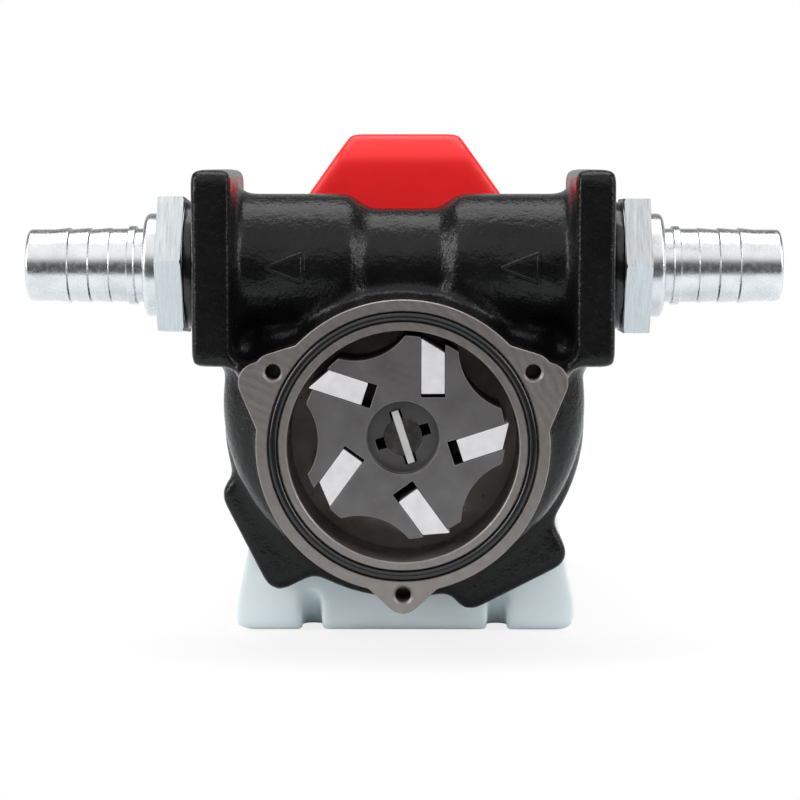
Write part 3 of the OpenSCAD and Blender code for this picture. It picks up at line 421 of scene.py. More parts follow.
CAST = make_cast_black()
LUG = make_lug_black()
MACHINED = make_machined()
CHAMBER = make_chamber()
ROTOR = make_rotor()
VANE = make_vane()
TURNED = make_steel("turned_zinc", (0.69, 0.7, 0.715), 0.25, 0.32 * MM)
HEXAGON = make_hex_steel()
BRIGHT = make_steel("bright_steel", (0.66, 0.67, 0.68), 0.26)
GROUND = make_steel("ground_steel", (0.42, 0.41, 0.4), 0.22)
SHAFT = make_steel("shaft_steel", (0.26, 0.245, 0.235), 0.22, mottled=0.4)
BLADE = make_plain("blade_steel", (0.6, 0.59, 0.58), 0.4, 0.35)
BRACKET = make_bracket()
RED = make_red()
RUBBER = make_plain("rubber_black", (0.006, 0.006, 0.0065), 0.24)
MOTOR_PAINT = make_plain("motor_paint", (0.010, 0.010, 0.011), 0.34, grain=1.2 * MM, depth=0.05 * MM)
PLASTIC = make_plain("black_plastic", (0.02, 0.02, 0.02), 0.5)
ROCKER = make_plain("rocker_plastic", (0.024, 0.024, 0.026), 0.3)
FERRITE = make_plain("ferrite", (0.1, 0.1, 0.105), 0.7)
COPPER = make_plain("copper", (0.72, 0.36, 0.16), 0.35, 1.0)
BOARD = make_plain("resin_board", (0.35, 0.26, 0.15), 0.6)
CARBON = make_plain("carbon", (0.04, 0.04, 0.042), 0.6)
BRASS = make_plain("brass", (0.7, 0.52, 0.22), 0.3, 1.0)
MARK = make_plain("mark_ink", (0.75, 0.75, 0.73), 0.5)

NODE_MATERIALS = {
    "pump_casting": CAST, "cover_o_ring": RUBBER, "rotor": ROTOR, "drive_blade": BLADE,
    "motor_shaft": SHAFT, "shaft_seal": RUBBER, "front_bearing": GROUND, "rear_bearing": GROUND,
    "armature_core": GROUND, "windings": COPPER, "commutator": COPPER, "magnets": FERRITE,
    "motor_tube": MOTOR_PAINT, "motor_bell": LUG, "motor_end_cap": MOTOR_PAINT,
    "brush_holder": BOARD, "brushes": CARBON, "brush_springs": BRIGHT, "motor_screws": BRIGHT,
    "tie_bolts": BRIGHT, "base_bracket": BRACKET, "inlet_tail": TURNED, "outlet_tail": TURNED,
    "port_seals": RUBBER, "inlet_strainer": BRIGHT, "bypass_poppet": BRASS,
    "bypass_spring": BRIGHT, "bypass_plug": BRIGHT, "handle_housing": RED,
    "handle_screws": BRIGHT, "switch_body": PLASTIC, "switch_rocker": ROCKER,
    "cable_gland": PLASTIC,
}
VANES = tuple("vane_%d" % number for number in range(1, 6))
NODE_MATERIALS.update(dict.fromkeys(VANES, VANE))

# Width in millimetres of the softened edge on each CAD node that stays shown
NODE_EDGES = {
    "rotor": 0.22, "drive_blade": 0.15, "motor_bell": 0.8, "motor_screws": 0.4, "tie_bolts": 0.4,
    "port_seals": 0.4, "handle_screws": 0.4, "switch_body": 0.4, "switch_rocker": 0.5,
    "cable_gland": 0.5, "motor_tube": 0.3, "motor_shaft": 0.3,
}
NODE_EDGES.update(dict.fromkeys(VANES, 0.2))

# Nodes whose flat faces are first joined into whole ones
FLAT_FACED = ("rotor", "drive_blade") + VANES


def soften_edges(obj, width, join_flats):
    """Narrow rounds on a CAD node's sharp edges, as modifiers that leave its own mesh alone."""
    weld = obj.modifiers.new("weld", "WELD")
    weld.merge_threshold = WELD
    if join_flats:
        flats = obj.modifiers.new("flats", "DECIMATE")
        flats.decimate_type = "DISSOLVE"
        flats.angle_limit = math.radians(0.5)
    bevel = obj.modifiers.new("edge", "BEVEL")
    bevel.width = width
    bevel.segments = 2
    bevel.limit_method = "ANGLE"
    bevel.angle_limit = math.radians(40)
    bevel.harden_normals = not join_flats
    if join_flats:
        normals = obj.modifiers.new("normals", "WEIGHTED_NORMAL")
        normals.weight = 100
        normals.keep_sharp = False


def dress_nodes():
    """A material on every CAD node, and softened edges on those that stay shown."""
    for name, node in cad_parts.items():
        node.data.materials.clear()
        node.data.materials.append(NODE_MATERIALS[name])
        if name in NODE_EDGES:
            soften_edges(node, NODE_EDGES[name] * MM, name in FLAT_FACED)


# Softened copies of cast and moulded nodes


def remeshed(obj, voxel):
    """The object as an even skin of small faces."""
    remesh = obj.modifiers.new("remesh", "REMESH")
    remesh.mode = "VOXEL"
    remesh.voxel_size = voxel
    return applied(obj)


def read_points(mesh):
    """The mesh's points and their normals, as rows of three."""
    points = np.zeros(len(mesh.vertices) * 3)
    normals = np.zeros(len(mesh.vertices) * 3)
    mesh.vertices.foreach_get("co", points)
    mesh.vertices.foreach_get("normal", normals)
    return points.reshape(-1, 3), normals.reshape(-1, 3)


def relaxed(mesh, points, share, rounds):
    """Points drawn towards the middle of their neighbours, by each one's share."""
    edges = np.zeros(len(mesh.edges) * 2, int)
    mesh.edges.foreach_get("vertices", edges)
    edges = edges.reshape(-1, 2)
    degree = np.maximum(np.bincount(edges.ravel(), minlength=len(points)), 1)[:, None]
    for _ in range(rounds):
        total = np.zeros_like(points)
        for column in range(3):
            total[:, column] = np.bincount(edges[:, 0], points[edges[:, 1], column], len(points))
            total[:, column] += np.bincount(edges[:, 1], points[edges[:, 0], column], len(points))
        points = points + 0.5 * share * (total / degree - points)
    return points


def write_points(mesh, points):
    mesh.vertices.foreach_set("co", points.ravel())
    mesh.update()


def filleted(obj, radius, voxel):
    """Swells the object, joins what then meets and shrinks it back, which fills its inner corners."""
    points, normals = read_points(obj.data)
    write_points(obj.data, points + radius * normals)
    remeshed(obj, voxel)
    points, normals = read_points(obj.data)
    write_points(obj.data, relaxed(obj.data, points, 1.0, 3))
    points, normals = read_points(obj.data)
    write_points(obj.data, points - radius * normals)
    return remeshed(obj, voxel)


def softened(name, node, voxel, rounds, grow, hold, fill=(), push=None, fillet=0.0):
    """A remeshed copy of a CAD node, grown a little, with rounded edges and fillets.
    hold gives each point's share of it, fill is joined in, and push moves points clear of machining."""
    source = link(bpy.data.objects.new(name + "_source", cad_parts[node].data.copy()))
    obj = joined(name, [source, *fill])
    weld = obj.modifiers.new("weld", "WELD")
    weld.merge_threshold = WELD
    remeshed(obj, voxel)
    if fillet:
        filleted(obj, fillet, voxel)
    mesh = obj.data
    points, normals = read_points(mesh)
    share = hold(points)[:, None]
    points = relaxed(mesh, points + grow * share * normals, share, rounds)
    write_points(mesh, push(points) if push else points)
    mesh.polygons.foreach_set("use_smooth", [True] * len(mesh.polygons))
    return obj


def ramp_up(values, start, end):
    """0 up to start and 1 from end on, with an eased step between."""
    share = np.clip((values - start) / (end - start), 0, 1)
    return share * share * (3 - 2 * share)


# The turned insert that stands for the machined front, and the cast skin's room round it
LIP = 0.8 * MM
INSERT_WALL = 1.0 * MM
INSERT_R = GROOVE_R + GROOVE_W + INSERT_WALL
INSERT_DEPTH = 3.4 * MM
SKIN_LIP_SHARE = 0.55
SKIN_BORE_R = BORE_R + 0.5 * MM
SKIN_FLOOR_SET = 0.7 * MM
HOLE_ROOM = 1.2 * MM

# Where smoothing starts and is full, from each machined surface outward, and the least share of it
FRONT_BLEND = (0.4 * MM, 2.5 * MM)
REAR_BLEND = (0.2 * MM, 1.5 * MM)
BORE_BLEND = (0.3 * MM, 2.5 * MM)
FRONT_LEAST_SHARE = 0.25
REAR_LEAST_SHARE = 0.3


def casting_share(points):
    """Full smoothing on cast skin, none at the machined face and rear face."""
    front = ramp_up(points[:, 1] - FACE_Y, *FRONT_BLEND)
    rear = ramp_up(REAR_Y - points[:, 1], *REAR_BLEND)
    reach = np.hypot(points[:, 0], points[:, 2] - BORE_Z)
    beside_bore = points[:, 1] < FLOOR_Y + 2 * MM
    bore = np.where(beside_bore, ramp_up(reach - BORE_R, *BORE_BLEND), 1)
    return np.maximum(front, FRONT_LEAST_SHARE) * np.maximum(rear, REAR_LEAST_SHARE) * bore


def casting_push(points):
    """Keeps the cast skin behind the machined face, out of the chamber and clear of the groove."""
    x, y, z = points[:, 0], points[:, 1], points[:, 2] - BORE_Z
    reach = np.hypot(x, z)
    y[:] = np.maximum(y, FACE_Y + LIP * SKIN_LIP_SHARE)
    within = (reach < INSERT_R) & (y < FACE_Y + INSERT_DEPTH)
    y[within] = FACE_Y + INSERT_DEPTH
    wall_in, wall_end = BORE_R - 2 * MM, FLOOR_Y + 0.4 * MM
    shell = (reach < SKIN_BORE_R) & (reach > wall_in) & (y < wall_end)
    grow = SKIN_BORE_R / np.maximum(reach, WELD)
    points[shell, 0] = x[shell] * grow[shell]
    points[shell, 2] = BORE_Z + z[shell] * grow[shell]
    floor_band = 1.6 * MM
    floor = (reach < BORE_R) & (np.abs(y - FLOOR_Y) < floor_band)
    y[floor] = np.maximum(y[floor], FLOOR_Y + SKIN_FLOOR_SET)
    pit_y = FACE_Y + HOLE_DEPTH + 1 * MM
    for centre in ear_centres():
        hole = np.hypot(x - centre.x, points[:, 2] - centre.z) < HOLE_R + HOLE_ROOM
        y[hole] = np.maximum(y[hole], pit_y)
    return points


def passage_fill():
    """A liner round the chamber and plugs in the ports, which close the inner flow passages,
    and the metal behind the machined face's two broad lobes."""
    inner, outer, seal = BORE_R + 0.8 * MM, 35 * MM, 16 * MM
    front, back, floor = FACE_Y + 2 * MM, FLOOR_Y + 5 * MM, FLOOR_Y + 1.2 * MM
    liner = [(inner, front), (outer, front), (outer, back), (seal, back), (seal, floor), (inner, floor)]
    parts = [lathe("liner", liner, (0, 0, BORE_Z), "Y")]
    lobe_front = FACE_Y + 0.5 * MM
    lobe = [(0, lobe_front), (LOBE_R, lobe_front), (LOBE_R, PORT_Y), (0, PORT_Y)]
    for angle in LOBE_ANGLES:
        turn = math.radians(angle)
        centre = (LOBE_REACH * math.cos(turn), 0, BORE_Z + LOBE_REACH * math.sin(turn))
        parts.append(lathe("lobe", lobe, centre, "Y", 48))
    plug_near, plug_far, plug_r = 14 * MM, 34 * MM, PORT_R + 0.5 * MM
    for side in (-1, 1):
        near, far = side * plug_near, side * plug_far
        plug = [(0, near), (plug_r, near), (plug_r, far), (0, far)]
        parts.append(lathe("plug", plug, (0, PORT_Y, PORT_Z), "X"))
    return parts


def build_casting():
    """The cast body in gloss paint, with duller paint on its two lugs."""
    body = softened(
        "cast_body", "pump_casting", voxel=0.85 * MM, rounds=10, grow=0.2 * MM, hold=casting_share,
        fill=passage_fill(), push=casting_push, fillet=2.2 * MM,
    )
    finish_piece(body, "pump_body", CAST, "cast_body", "pump_casting")
    body.data.materials.append(LUG)
    lug_reach, lug_t = 49.1 * MM, 12.6 * MM
    centres = np.zeros(len(body.data.polygons) * 3)
    body.data.polygons.foreach_get("center", centres)
    centres = centres.reshape(-1, 3)
    reach = np.hypot(centres[:, 0], centres[:, 2] - AXIS_Z)
    lug = (centres[:, 1] > REAR_Y - lug_t) & (centres[:, 2] < AXIS_Z) & (reach > lug_reach)
    body.data.polygons.foreach_set("material_index", lug.astype(int))


def ring_outline(turn):
    """Reach of the machined face's outline at an angle: the ring and its tangent ears."""
    reach = RING_R
    ears = [(angle, EAR_PCD_R, EAR_R) for angle in EAR_ANGLES]
    ears += [(angle, LOBE_REACH, LOBE_R) for angle in LOBE_ANGLES]
    for angle, centre, radius in ears:
        lean = math.acos((EAR_ROOT_R - radius) / centre)
        tip = math.atan2(radius * math.sin(lean), centre + radius * math.cos(lean))
        away = math.radians(abs((math.degrees(turn) - angle + 180) % 360 - 180))
        if away <= tip:
            ear = centre * math.cos(away)
            ear += math.sqrt(max(radius**2 - (centre * math.sin(away)) ** 2, 0))
            reach = max(reach, ear)
        elif away < lean:
            reach = max(reach, EAR_ROOT_R / math.cos(away - lean))
    return reach


def ear_centres():
    """The three places of the tapped holes on the machined face."""
    centres = []
    for angle in EAR_ANGLES:
        turn = math.radians(angle)
        centres.append(Vector((EAR_PCD_R * math.cos(turn), FACE_Y, BORE_Z + EAR_PCD_R * math.sin(turn))))
    return centres


def subtract(obj, tool):
    """Cuts the tool out of the object and removes the tool."""
    cut = obj.modifiers.new("cut", "BOOLEAN")
    cut.operation = "DIFFERENCE"
    cut.object = tool
    cut.solver = "EXACT"
    applied(obj)
    bpy.data.objects.remove(tool)


def build_machined_face():
    """The milled face with its ears, its rim slightly broken, and three countersunk holes."""
    steps = 720
    rim = 0.25 * MM
    back_y = FACE_Y + LIP
    verts = []
    for i in range(steps):
        turn = 2 * math.pi * i / steps
        out = ring_outline(turn)
        section = [(INSERT_R, back_y), (INSERT_R, FACE_Y), (out - rim, FACE_Y)]
        section += [(out, FACE_Y + rim), (out, back_y)]
        verts += [(reach * math.cos(turn), y, BORE_Z + reach * math.sin(turn)) for reach, y in section]
    rows = len(section)
    faces = []
    for i in range(steps):
        here, there = i * rows, (i + 1) % steps * rows
        for k in range(rows):
            m = (k + 1) % rows
            faces.append([here + k, here + m, there + m, there + k])
    face = mesh_object("machined_face", verts, faces, smooth=False)
    front, sunk, back = FACE_Y - MM, FACE_Y + SINK, FACE_Y + 2 * LIP
    sink = [(0, front), (HOLE_R + SINK + MM, front), (HOLE_R, sunk), (HOLE_R, back), (0, back)]
    sinks = [lathe("sink", sink, (centre.x, 0, centre.z), "Y", 32) for centre in ear_centres()]
    subtract(face, joined("sinks", sinks))
    finish_piece(face, "pump_body", MACHINED, "cast_body")


def build_chamber():
    """Bore, floor and O-ring groove, turned in one piece."""
    edge = 0.2 * MM
    groove_out = GROOVE_R + GROOVE_W
    bore_wall = 0.6 * MM
    shaft_hole = 5.3 * MM
    profile = [
        (INSERT_R, FACE_Y + INSERT_DEPTH), (INSERT_R, FACE_Y), (groove_out + edge, FACE_Y),
        (groove_out, FACE_Y + edge), (groove_out, FACE_Y + GROOVE_D), (GROOVE_R, FACE_Y + GROOVE_D),
        (GROOVE_R, FACE_Y + edge), (GROOVE_R - edge, FACE_Y), (BORE_R + edge * 1.5, FACE_Y),
        (BORE_R, FACE_Y + edge * 1.5), (BORE_R, FLOOR_Y), (shaft_hole, FLOOR_Y),
        (shaft_hole, FLOOR_Y + bore_wall), (BORE_R + bore_wall, FLOOR_Y + bore_wall),
        (BORE_R + bore_wall, FACE_Y + INSERT_DEPTH),
    ]
    chamber = lathe("pump_chamber", profile, (0, 0, BORE_Z), "Y", 192)
    finish_piece(chamber, "pump_body", MACHINED, "cast_body")
    chamber.data.materials.append(CHAMBER)
    inside_y = FACE_Y + edge * 1.55
    for face in chamber.data.polygons:
        reach = math.hypot(face.center.x, face.center.z - BORE_Z)
        face.material_index = int(face.center.y > inside_y and reach < GROOVE_R)


def build_tapped_holes():
    """The three threads, as turned grooves with a flat bottom."""
    pitch = 0.8 * MM
    wall = 0.5 * MM
    depth = 0.45 * MM
    start = FACE_Y + SINK
    profile = [(HOLE_R, start)]
    turns = int((HOLE_DEPTH - SINK) / pitch)
    for i in range(turns):
        profile += [(HOLE_R + depth, start + (i + 0.5) * pitch), (HOLE_R, start + (i + 1) * pitch)]
    end = start + turns * pitch
    outer = HOLE_R + depth + wall
    profile += [(0, end), (0, end + wall), (outer, end + wall), (outer, start)]
    for i, centre in enumerate(ear_centres()):
        hole = lathe("tapped_hole_%d" % (i + 1), profile, (centre.x, 0, centre.z), "Y", 40)
        finish_piece(hole, "pump_body", CHAMBER, "cast_body")


ARROWS = (("flow_arrow_out", -31.7 * MM), ("flow_arrow_in", 30.9 * MM))
ARROW_HALF_L = 5.0 * MM
ARROW_HALF_H = 3.9 * MM
ARROW_PROUD = 0.78 * MM
ARROW_BEADS = (0.72 * MM, 0.95 * MM, 0.72 * MM)
BEAD_END_SHARE = 0.85


def arrow_stroke(name, middle, start, end, bead):
    """A raised bead on the front of the port tube between two (x, z) places about the middle."""
    steps = 12
    curve = bpy.data.curves.new(name, "CURVE")
    curve.dimensions = "3D"
    curve.bevel_depth = bead
    curve.bevel_resolution = 4
    curve.use_fill_caps = True
    spline = curve.splines.new("POLY")
    spline.points.add(steps - 1)
    for i, point in enumerate(spline.points):
        share = i / (steps - 1)
        x, z = start[0] + (end[0] - start[0]) * share, start[1] + (end[1] - start[1]) * share
        y = PORT_Y - math.sqrt(TUBE_R**2 - z**2) - ARROW_PROUD + bead
        point.co = (middle + x, y, PORT_Z + z, 1)
        point.radius = BEAD_END_SHARE + (1 - BEAD_END_SHARE) * math.sin(math.pi * share)
    stroke = link(bpy.data.objects.new(name, curve))
    depsgraph = bpy.context.evaluated_depsgraph_get()
    mesh = bpy.data.meshes.new_from_object(stroke.evaluated_get(depsgraph))
    bpy.data.objects.remove(stroke)
    return link(bpy.data.objects.new(name + "_stroke", mesh))


def build_arrows():
    """Two raised triangle outlines on the port tube, which point to the outlet."""
    corners = [(-ARROW_HALF_L, 0), (ARROW_HALF_L, ARROW_HALF_H), (ARROW_HALF_L, -ARROW_HALF_H)]
    for name, middle in ARROWS:
        strokes = [
            arrow_stroke(name, middle, corners[k], corners[(k + 1) % 3], bead)
            for k, bead in enumerate(ARROW_BEADS)
        ]
        arrow = joined(name, strokes)
        arrow.data.polygons.foreach_set("use_smooth", [True] * len(arrow.data.polygons))
        finish_piece(arrow, "pump_body", CAST, "cast_body")


# Hose tails

HEX_X = 59.0 * MM
HEX_T = 7.0 * MM
HEX_AF = 36.0 * MM
HEX_BREAK = 0.45 * MM
HEX_CONE_DEGREES = 60
TAIL_BORE_R = 7.5 * MM
BORE_BREAK = 0.5 * MM
SHANK_R = 17.0 * MM
SHANK_X = 57.5 * MM
COLLAR_R = 14.1 * MM
COLLAR_L = 2.6 * MM
COLLAR_ROUND = 1.5 * MM
SEAM = 0.02 * MM
NECK_R = 10.0 * MM
NECK_X = 70.3 * MM
RIB_X = 72.4 * MM
BARB_R = 10.2 * MM
BARB_ROOT_R = 9.75 * MM
BARB_X = 79.6 * MM
BARB_PITCH = 5.6 * MM
BARB_SLOPES = (5.2 * MM, 5.2 * MM, 4.0 * MM)
TAIL_END_X = tail_high.x
TAIL_END_ROUND = 1.0 * MM

# Half section of the rib behind the barbs, in millimetres above the neck and along from RIB_X
RIB_SECTION = ((0, 0), (0.5, 0.15), (0.7, 0.4), (0.7, 2.0), (0.5, 2.25), (0, 2.3))

# Half section of a barb's crest, in millimetres above BARB_R and along from the crest
CREST_SECTION = ((-0.1, -0.15), (0, 0), (-0.03, 0.25))


def hexagon(name, side, turn_degrees):
    """A hexagon about the port axis, its corners broken by a cone at both faces."""
    steps = 360
    near = [0, 0.12 * MM, 0.25 * MM, 0.5 * MM]
    stations = near + [HEX_T / 2] + [HEX_T - x for x in reversed(near)]
    cone = math.tan(math.radians(HEX_CONE_DEGREES))
    corner = math.pi / 6
    face_r = HEX_AF / 2 / math.cos(corner) - HEX_BREAK
    verts = []
    for x in stations:
        limit = face_r + min(x, HEX_T - x) * cone
        for i in range(steps):
            turn = 2 * math.pi * i / steps
            flat = HEX_AF / 2 / math.cos((turn + corner) % (2 * corner) - corner)
            reach = min(flat, limit)
            angle = turn + math.radians(turn_degrees)
            y, z = PORT_Y + reach * math.sin(angle), PORT_Z + reach * math.cos(angle)
            verts.append((side * (HEX_X + x), y, z))
    faces = []
    for k in range(len(stations) - 1):
        for i in range(steps):
            j = (i + 1) % steps
            faces.append([k * steps + i, k * steps + j, (k + 1) * steps + j, (k + 1) * steps + i])
    faces.append(list(range(steps)))
    faces.append([(len(stations) - 1) * steps + i for i in range(steps)])
    made = mesh_object(name, verts, faces)
    sharp_by_angle(made, 14)
    return made


def quarter_round(radius, along, size, steps, first, last):
    """Points first to last of a quarter circle of so many steps, from outermost to furthest along."""
    turns = [math.pi / 2 * i / steps for i in range(first, last + 1)]
    return [(radius + size * math.cos(turn), along + size * math.sin(turn)) for turn in turns]


def tail_profile():
    """Half section of the tail with its bore, as (radius, along) points from the middle outward."""
    hex_end = HEX_X + HEX_T
    collar_end = hex_end + COLLAR_L
    points = [(TAIL_BORE_R, SHANK_X), (SHANK_R, SHANK_X), (SHANK_R, hex_end)]
    points += [(COLLAR_R, hex_end + SEAM), (COLLAR_R, collar_end)]
    points += quarter_round(COLLAR_R - COLLAR_ROUND, collar_end, COLLAR_ROUND, 6, 1, 6)
    points += [(NECK_R + 0.1 * MM, NECK_X - 0.15 * MM), (NECK_R, NECK_X)]
    points += [(NECK_R + up * MM, RIB_X + along * MM) for up, along in RIB_SECTION]
    points.append((NECK_R - 0.05 * MM, BARB_X - 0.3 * MM))
    for number, slope in enumerate(BARB_SLOPES):
        crest = BARB_X + number * BARB_PITCH
        points += [(BARB_R + up * MM, crest + along * MM) for up, along in CREST_SECTION]
        points.append((BARB_ROOT_R, crest + slope))
    round_x = TAIL_END_X - TAIL_END_ROUND
    points.append((BARB_ROOT_R, round_x))
    points += quarter_round(BARB_ROOT_R - TAIL_END_ROUND, round_x, TAIL_END_ROUND, 5, 1, 5)
    points += [(TAIL_BORE_R + BORE_BREAK, TAIL_END_X), (TAIL_BORE_R, TAIL_END_X - BORE_BREAK)]
    return points


def build_tails():
    """Both hose tails, each with its hexagon turned a few degrees as in the photograph."""
    for name, side, turn in (("inlet", 1, 1.5), ("outlet", -1, 5.0)):
        profile = [(r, side * along) for r, along in tail_profile()]
        stem = lathe(name + "_hose_tail", profile, (0, PORT_Y, PORT_Z), "X", 144)
        finish_piece(stem, "pump_body", TURNED, "zinc_bright", name + "_tail")
        nut = hexagon(name + "_hexagon", side, turn)
        finish_piece(nut, "pump_body", HEXAGON, "zinc_bright")


# Handle, bracket and switch

SADDLE_BLEND = (40.4 * MM, 42.5 * MM)
SWITCH_BLEND = (0.3 * MM, 2.0 * MM)
SADDLE_LEAST_SHARE = 0.05
SWITCH_LEAST_SHARE = 0.3


def handle_share(points):
    """Edges round off everywhere but at the saddle on the motor and round the switch."""
    motor = np.hypot(points[:, 0], points[:, 2] - AXIS_Z)
    saddle = ramp_up(motor, *SADDLE_BLEND)
    switch = ramp_up(handle_end_y - points[:, 1], *SWITCH_BLEND)
    return np.maximum(saddle, SADDLE_LEAST_SHARE) * np.maximum(switch, SWITCH_LEAST_SHARE)


def full_share(points):
    return np.ones(len(points))


def build_handle():
    """The moulded red housing with its edges rounded."""
    body = softened(
        "handle_shell", "handle_housing", voxel=0.9 * MM, rounds=12, grow=0.05 * MM, hold=handle_share
    )
    finish_piece(body, "pump_body", RED, "red_plastic", "handle_housing")


def build_bracket():
    """The pressed steel sheet with soft bends and broken edges."""
    body = softened("bracket_sheet", "base_bracket", voxel=0.6 * MM, rounds=20, grow=0, hold=full_share)
    finish_piece(body, "pump_body", BRACKET, "zinc_blue", "base_bracket")


def build_rocker_marks():
    """A bar for on and a ring for off, printed on the rocker's two halves."""
    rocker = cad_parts["switch_rocker"].data
    tree = BVHTree.FromPolygons([v.co for v in rocker.vertices], [p.vertices for p in rocker.polygons])
    low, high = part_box("switch_rocker")
    middle, quarter = (low.z + high.z) / 2, (high.z - low.z) / 4
    lift, sunk = 0.12 * MM, -0.2 * MM
    ring_in, ring_out = 1.2 * MM, 1.7 * MM
    ring = [(ring_in, sunk), (ring_out, sunk), (ring_out, lift), (ring_in, lift)]
    half_w, half_h = 0.3 * MM, 1.7 * MM
    bar = []
    for y in (sunk, lift):
        bar += [(-half_w, y, -half_h), (half_w, y, -half_h), (half_w, y, half_h), (-half_w, y, half_h)]
    bar_faces = [[0, 1, 2, 3], [4, 5, 6, 7], [0, 1, 5, 4], [1, 2, 6, 5], [2, 3, 7, 6], [3, 0, 4, 7]]
    marks = (
        (mesh_object("rocker_mark_on", bar, bar_faces, smooth=False), middle + quarter),
        (lathe("rocker_mark_off", ring, (0, 0, 0), "Y", 48), middle - quarter),
    )
    behind_y = 0.3
    for mark, z in marks:
        place, normal, _, _ = tree.ray_cast(Vector((0, behind_y, z)), Vector((0, -1, 0)))
        turn = Vector((0, 1, 0)).rotation_difference(normal).to_matrix().to_4x4()
        mark.data.transform(turn)
        mark.data.transform(Matrix.Translation(place))
        finish_piece(mark, "switch_rocker", MARK, "rocker_plastic")


dress_nodes()
build_casting()
build_machined_face()
build_chamber()
build_tapped_holes()
build_arrows()
build_tails()
build_handle()
build_bracket()
build_rocker_marks()


# Camera, floor and light


# The photograph's view, fitted to places that show in it
IMAGE_PX = 800
FOCAL_PX = 2383.0
SENSOR = 36.0
CAMERA_PITCH = math.radians(5.647)
CAMERA_YAW = math.radians(-0.547)
CAMERA_PLACE = (0.00513, PORT_Y - 0.64965, PORT_Z + 0.02736)
CAMERA_REACH = (0.01, 50)


def build_camera():
    """A long lens a little above the pump face."""
    level = math.cos(CAMERA_PITCH)
    forward = Vector((math.sin(CAMERA_YAW) * level, math.cos(CAMERA_YAW) * level, -math.sin(CAMERA_PITCH)))
    data = bpy.data.cameras.new("camera")
    data.sensor_width = SENSOR
    data.lens = FOCAL_PX / IMAGE_PX * SENSOR
    data.clip_start, data.clip_end = CAMERA_REACH
    camera = link(bpy.data.objects.new("camera", data))
    camera.location = CAMERA_PLACE
    camera.rotation_mode = "QUATERNION"
    camera.rotation_quaternion = forward.to_track_quat("-Z", "Y")
    bpy.context.scene.camera = camera


SHEET_X = (-0.8, 0.8)
SHEET_Y = (-0.3, 0.8)
FADE_START = 0.12
FADE_END = 0.24
GLOW_SHARE = 0.78


def build_floor():
    """A pale sheet that carries the shadow and fades to plain white round the part."""
    (low_x, high_x), (low_y, high_y) = SHEET_X, SHEET_Y
    corners = [(low_x, low_y, 0), (high_x, low_y, 0), (high_x, high_y, 0), (low_x, high_y, 0)]
    floor = mesh_object("floor", corners, [[0, 1, 2, 3]], smooth=False)
    material = bpy.data.materials.new("floor_white")
    material.use_nodes = True
    nodes = Nodes(material.node_tree)
    nodes.tree.nodes.clear()
    out = nodes.node("ShaderNodeOutputMaterial")
    mix = nodes.node("ShaderNodeMixShader")
    path = nodes.node("ShaderNodeLightPath")
    paint = nodes.node("ShaderNodeBsdfDiffuse")
    tone = nodes.node("ShaderNodeMix", data_type="RGBA")
    tone.inputs["A"].default_value = (0.84, 0.88, 0.9, 1)
    tone.inputs["B"].default_value = (0.98, 0.98, 0.98, 1)
    nodes.wire(path.outputs["Is Camera Ray"], tone.inputs["Factor"])
    nodes.wire(tone.outputs["Result"], paint.inputs["Color"])
    glow = nodes.node("ShaderNodeEmission")
    glow.inputs["Strength"].default_value = 1.0
    reach = nodes.node("ShaderNodeVectorMath", operation="LENGTH")
    nodes.wire(nodes.node("ShaderNodeTexCoord").outputs["Object"], reach.inputs[0])
    white = nodes.smooth(reach.outputs["Value"], FADE_START, FADE_END)
    share = nodes.math("MULTIPLY_ADD", white, 1 - GLOW_SHARE, GLOW_SHARE)
    nodes.wire(nodes.math("MULTIPLY", share, path.outputs["Is Camera Ray"]), mix.inputs["Fac"])
    nodes.wire(paint.outputs[0], mix.inputs[1])
    nodes.wire(glow.outputs[0], mix.inputs[2])
    nodes.wire(mix.outputs[0], out.inputs["Surface"])
    floor.data.materials.append(material)


# Brightness of the room's front and back walls, by height from straight down (0) to overhead (1)
FRONT_WALL = ((0.0, 0.3), (0.2, 0.3), (0.27, 0.09), (0.57, 0.09), (0.72, 1.2), (0.93, 1.3), (1.0, 0.9))
BACK_WALL = ((0.0, 0.7), (0.62, 0.7), (0.8, 0.15), (1.0, 0.1))
WALL_BLEND = (-0.08, 0.12)

# A small dim gap high in the front wall: its middle and half widths to the side and upward
GAP_SIDE, GAP_UP = 0.1, 0.83
GAP_HALF_W, GAP_HALF_H = 0.05, 0.07
GAP_BLEND = (0.7, 1.4)
GAP_COLOUR = (0.1, 0.105, 0.11, 1)


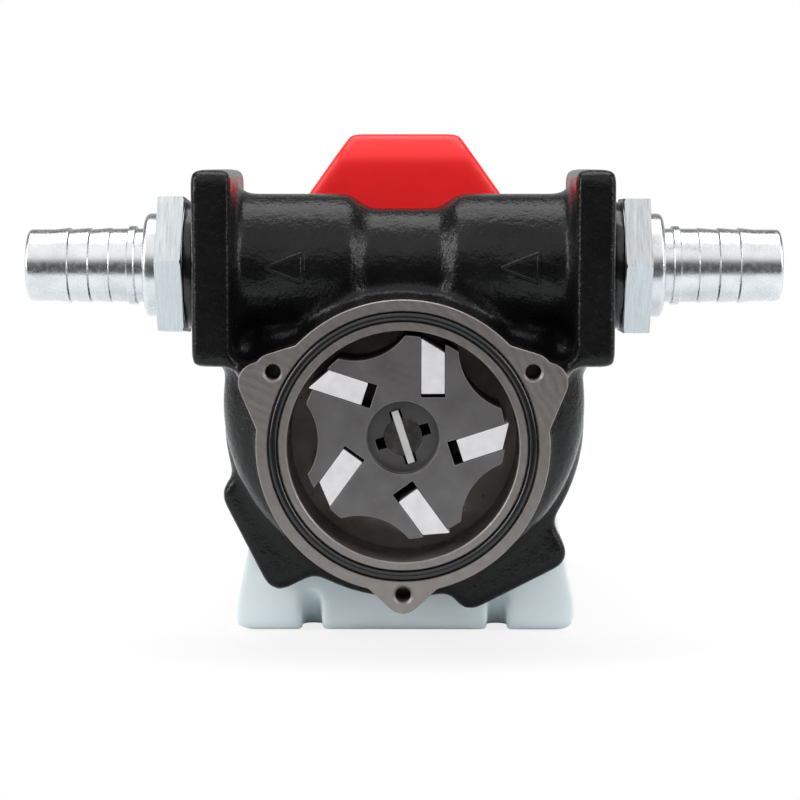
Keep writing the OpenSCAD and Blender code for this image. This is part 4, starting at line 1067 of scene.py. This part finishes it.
def build_world():
    """White where the camera looks, and for all else a grey room with a dark band in front."""
    world = bpy.data.worlds.new("studio")
    bpy.context.scene.world = world
    world.use_nodes = True
    nodes = Nodes(world.node_tree)
    nodes.tree.nodes.clear()
    out = nodes.node("ShaderNodeOutputWorld")
    mix = nodes.node("ShaderNodeMixShader")
    path = nodes.node("ShaderNodeLightPath")
    split = nodes.node("ShaderNodeSeparateXYZ")
    nodes.wire(nodes.node("ShaderNodeTexCoord").outputs["Generated"], split.inputs[0])
    side, ahead, up = split.outputs
    height = nodes.math("MULTIPLY_ADD", up, 0.5, 0.5)
    front = nodes.stops(height, *FRONT_WALL)
    back = nodes.stops(height, *BACK_WALL)
    gap_x = nodes.math("DIVIDE", nodes.math("SUBTRACT", side, GAP_SIDE), GAP_HALF_W)
    gap_z = nodes.math("DIVIDE", nodes.math("SUBTRACT", up, GAP_UP), GAP_HALF_H)
    squares = nodes.math("ADD", nodes.math("POWER", gap_x, 2.0), nodes.math("POWER", gap_z, 2.0))
    outside_gap = nodes.smooth(nodes.math("SQRT", squares), *GAP_BLEND)
    clear = nodes.math("MAXIMUM", outside_gap, nodes.math("GREATER_THAN", ahead, 0.0))
    dimmed = nodes.node("ShaderNodeMix", data_type="RGBA")
    dimmed.inputs["A"].default_value = GAP_COLOUR
    nodes.wire(clear, dimmed.inputs["Factor"])
    nodes.wire(front, dimmed.inputs["B"])
    room = nodes.node("ShaderNodeMix", data_type="RGBA")
    nodes.wire(nodes.smooth(ahead, *WALL_BLEND), room.inputs["Factor"])
    nodes.wire(dimmed.outputs["Result"], room.inputs["A"])
    nodes.wire(back, room.inputs["B"])
    studio = nodes.node("ShaderNodeBackground")
    nodes.wire(room.outputs["Result"], studio.inputs["Color"])
    white = nodes.node("ShaderNodeBackground")
    white.inputs["Color"].default_value = (1, 1, 1, 1)
    nodes.wire(path.outputs["Is Camera Ray"], mix.inputs["Fac"])
    nodes.wire(studio.outputs[0], mix.inputs[1])
    nodes.wire(white.outputs[0], mix.inputs[2])
    nodes.wire(mix.outputs[0], out.inputs["Surface"])


# Name, place, width, height and radiance of each lamp
SOFTBOXES = (
    ("top_box", (0, 0.1, 0.95), 0.9, 0.6, 3.4),
    ("left_box", (-0.85, -0.42, 0.4), 0.25, 0.75, 7.5),
    ("right_box", (0.85, -0.42, 0.4), 0.2, 0.65, 6.5),
)


def softbox(name, place, width, height, radiance, aim):
    """A rectangular lamp of even radiance that faces a point."""
    data = bpy.data.lights.new(name, "AREA")
    data.shape = "RECTANGLE"
    data.size, data.size_y = width, height
    data.energy = radiance * math.pi * width * height
    lamp = link(bpy.data.objects.new(name, data))
    lamp.location = place
    lamp.rotation_mode = "QUATERNION"
    lamp.rotation_quaternion = (Vector(aim) - Vector(place)).to_track_quat("-Z", "Y")


build_camera()
build_floor()
build_world()
for row in SOFTBOXES:
    softbox(*row, aim=(0, PORT_Y, AXIS_Z))

bpy.context.scene.view_settings.view_transform = "Standard"
